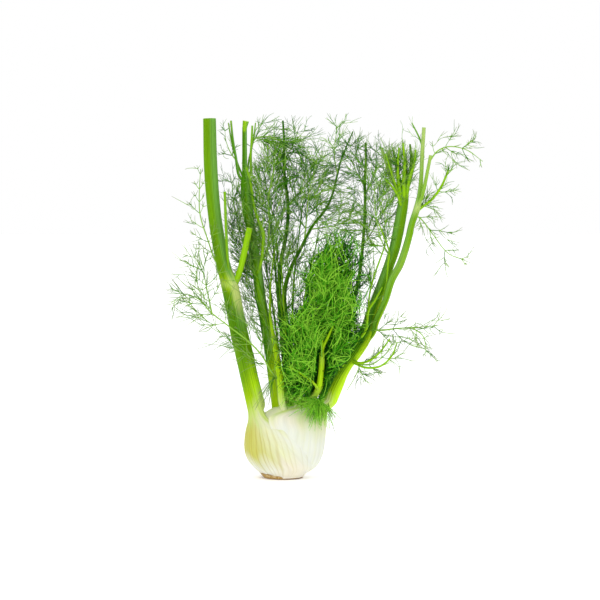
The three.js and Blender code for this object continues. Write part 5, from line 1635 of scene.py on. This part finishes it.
class FENNEL_OT_second_leaf(bpy.types.Operator):
    """Make the second leaf, whose dark stalk stands right behind the left one"""
    bl_idname = "fennel.second_leaf"
    bl_label = "Second leaf"

    def execute(self, context):
        stalks = context.scene.fennel_stalks
        bm = new_bmesh()
        add_loft(bm, leaf_rings(SECOND_LEAF, SECOND_LEAF["rib_height"], stalks.ridge / MM))
        for points, tint in SECOND_BRANCHES + SECOND_PETIOLES:
            add_loft(bm, stem_rings(points, tint, stalks.ridge / MM, -1))
        mesh = finish_mesh(bm, "second_leaf_finished")
        ramps = [
            [(60, "pale"), (74, "lime"), (104, "lime"), (124, "grass"), (180, "deep"),
             (330, "grass"), (380, "grass"), (394, "leaf")],
            [(60, "pale"), (78, "lime"), (116, "lime"), (144, "grass"), (200, "leaf"),
             (290, "leaf"), (326, "grass"), (376, "grass"), (394, "lime")],
            [(60, "white"), (76, "ivory"), (98, "pale"), (124, "lime"), (160, "sage"),
             (400, "sage")],
        ]
        material = petiole_material("second_stalk_fresh", context.scene, ramps, "pale",
                                    [(0, 0.0), (400, 0.0)])
        add_piece(mesh, "second_leaf_finished", material, "leaf_second", "leaf_second")
        return {"FINISHED"}


class FENNEL_OT_heart(bpy.types.Operator):
    """Make the heart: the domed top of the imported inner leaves, and their stalks"""
    bl_idname = "fennel.heart"
    bl_label = "Heart"

    def execute(self, context):
        stalks = context.scene.fennel_stalks
        sides = 96
        around = np.linspace(0, 2 * math.pi, sides, endpoint=False)
        bm = new_bmesh()
        rings = []
        for z in np.concatenate([np.arange(36, 76, 3), np.arange(76, 82.6, 1.1)]):
            _, left, right, depth = row_at(HEART_DOME, z)
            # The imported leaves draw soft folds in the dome, half a millimetre deep.
            fold = 0.5 * np.sin(around * 9 + z * 0.12) * smooth(z, 60, 74)
            ring = np.column_stack([(left + right) / 2 + ((right - left) / 2 + fold)
                                    * np.cos(around), (depth + fold) * np.sin(around),
                                    np.full(sides, z)])
            grain = np.column_stack([np.cos(around), -np.sin(around), np.full(sides, z * MM)])
            rings.append((ring, grain, np.column_stack([np.full(sides, 0.8),
                                                        np.zeros((sides, 2))])))
        add_loft(bm, rings)
        for k, (points, tint) in enumerate(HEART_STALKS):
            swell, slim, joints = (1.2, 0, YOUNG_JOINTS) if k == YOUNG_STEM else (1, 0.32, ())
            points = [[*point[:3], point[3] * swell] for point in points]
            add_loft(bm, stem_rings(points, tint, stalks.ridge / MM, 1, flare=0.5, slim=slim,
                                    fades=(130, 220), joints=joints))
        for stems, joints in ((HEART_PETIOLES, ()), (YOUNG_ARMS, YOUNG_JOINTS)):
            for points, tint in stems:
                add_loft(bm, stem_rings(points, tint, PETIOLE_RIDGE, 1, sides=10, step=4,
                                        ribs=0, fades=(150, 230), joints=joints))
        mesh = finish_mesh(bm, "heart_finished")
        ramps = [
            [(40, "white"), (70, "ivory"), (90, "pale"), (112, "leaf"), (150, "grass"),
             (240, "deep"), (400, "deep")],
            [(40, "white"), (72, "ivory"), (90, "pale"), (108, "leaf"), (150, "grass"),
             (260, "deep"), (400, "deep")],
            [(40, "white"), (72, "ivory"), (92, "pale"), (116, "leaf"), (160, "grass"),
             (400, "grass")],
        ]
        # The bright tint of the young stems, shoot green, is partly painted light on stems that
        # the fronds shade.
        material = petiole_material("heart_fresh", context.scene, ramps, "pale",
                                    [(0, 0.2), (70, 0.3), (90, 0.0)], tint="shoot")
        add_piece(mesh, "heart_finished", material, "heart", "heart")
        return {"FINISHED"}


class FENNEL_OT_fronds(bpy.types.Operator):
    """Make every frond: midribs, shoots and needles with finer threads all round them"""
    bl_idname = "fennel.fronds"
    bl_label = "Fronds"

    def execute(self, context):
        sizes = context.scene.fennel_fronds
        old = thread_material("thread_leaf_old", context.scene, "old_dark", "old",
                              "old_light", "grey", 0.12)
        young = thread_material("thread_leaf_young", context.scene, "young_dark", "young",
                                "young_light", "young_light", 0.15)
        planned, taken, stalk_count = plan_fronds()
        threads = cut_clear(plan_threads(planned, sizes), taken, stalk_count)
        for owner, name in enumerate(planned):
            mass, material, slot = ((YOUNG_MASS, young, "frond_young") if is_young(name)
                                    else (OLD_MASS, old, "frond"))
            dryness = 2.4 if is_sparse(name) else 0.7
            mesh = thread_mesh(name + "_finished", threads[owner], mass, dryness)
            add_piece(mesh, name + "_finished", material, slot, name)
        return {"FINISHED"}


# Where the camera aims, how far it looks down in degrees, and how wide a field it takes in.
CAMERA_AIM = (19.8 * MM, 0, 196.4 * MM)
CAMERA_RISE = 3.0
FIELD_WIDTH = 0.66
# Broad soft lamps far off: where each one stands, its strength and how wide it looks.
LAMPS = (("key", (-0.7, -1.3, 1.5), 1.05, 40), ("fill", (1.3, -1.2, 0.8), 0.48, 60),
         ("top", (0.2, 0.5, 1.8), 1.2, 70))


class FENNEL_OT_stage(bpy.types.Operator):
    """Set up the paper floor, the soft lights and the camera"""
    bl_idname = "fennel.stage"
    bl_label = "Studio"

    def execute(self, context):
        scene = context.scene
        stage = scene.fennel_stage
        bm = bmesh.new()
        bmesh.ops.create_grid(bm, x_segments=8, y_segments=8, size=20)
        bmesh.ops.translate(bm, verts=bm.verts, vec=(0, 0, -0.3 * MM))
        mesh = bpy.data.meshes.new("studio_floor")
        bm.to_mesh(mesh)
        bm.free()
        mesh.materials.append(paper_material(scene))
        floor = bpy.data.objects.new("studio_floor", mesh)
        scene.collection.objects.link(floor)
        world = bpy.data.worlds.new("studio")
        scene.world = world
        world.use_nodes = True
        sky = world.node_tree.nodes["Background"]
        # The paper behind is lit to full white; less of that light falls on the fennel.
        seen = add_node(world.node_tree, "LightPath")
        strength = add_node(world.node_tree, "Mix", {
            0: seen.outputs["Is Camera Ray"], 2: stage.sky, 3: 1.0})
        world.node_tree.links.new(strength.outputs[0], sky.inputs["Strength"])
        sky.inputs["Color"].default_value = (1, 1, 1, 1)
        for name, place, power, width in LAMPS:
            light = bpy.data.lights.new(name, "SUN")
            light.energy, light.angle = power, math.radians(width)
            lamp = bpy.data.objects.new(name, light)
            lamp.location = place
            lamp.rotation_mode = "QUATERNION"
            lamp.rotation_quaternion = (-Vector(place)).to_track_quat("-Z", "Y")
            scene.collection.objects.link(lamp)
        camera = bpy.data.cameras.new("camera")
        camera.lens = stage.lens
        view = bpy.data.objects.new("camera", camera)
        rise = math.radians(CAMERA_RISE)
        away = FIELD_WIDTH * stage.lens / camera.sensor_width
        aim = Vector(CAMERA_AIM)
        view.location = aim + Vector((0, -math.cos(rise), math.sin(rise))) * away
        view.rotation_euler = (math.pi / 2 - rise, 0, 0)
        scene.collection.objects.link(view)
        scene.camera = view
        scene.view_settings.view_transform = "Standard"
        return {"FINISHED"}


PIECES = (FENNEL_OT_stage, FENNEL_OT_root_plate, FENNEL_OT_left_leaf, FENNEL_OT_right_leaf,
          FENNEL_OT_second_leaf, FENNEL_OT_heart, FENNEL_OT_fronds)


class FENNEL_PT_panel(bpy.types.Panel):
    """Lists the fennel's pieces and their sizes and colours"""
    bl_label = "Florence fennel"
    bl_space_type = "VIEW_3D"
    bl_region_type = "UI"
    bl_category = "Fennel"

    def draw(self, context):
        layout = self.layout
        for piece in PIECES:
            layout.operator(piece.bl_idname)
        for name in GROUPS:
            box = layout.box()
            group = getattr(context.scene, name)
            for key in group.__annotations__:
                box.prop(group, key)


GROUPS = {"fennel_bulb": FennelBulb, "fennel_stalks": FennelStalks,
          "fennel_fronds": FennelFronds, "fennel_stage": FennelStage}


def register():
    for kind in (*GROUPS.values(), *PIECES, FENNEL_PT_panel):
        bpy.utils.register_class(kind)
    for name, kind in GROUPS.items():
        setattr(bpy.types.Scene, name, PointerProperty(type=kind))


def unregister():
    for name in GROUPS:
        delattr(bpy.types.Scene, name)
    for kind in reversed((*GROUPS.values(), *PIECES, FENNEL_PT_panel)):
        bpy.utils.unregister_class(kind)


def main():
    register()
    for piece in PIECES:
        group, name = piece.bl_idname.split(".")
        getattr(getattr(bpy.ops, group), name)()


if __name__ == "__main__":
    main()
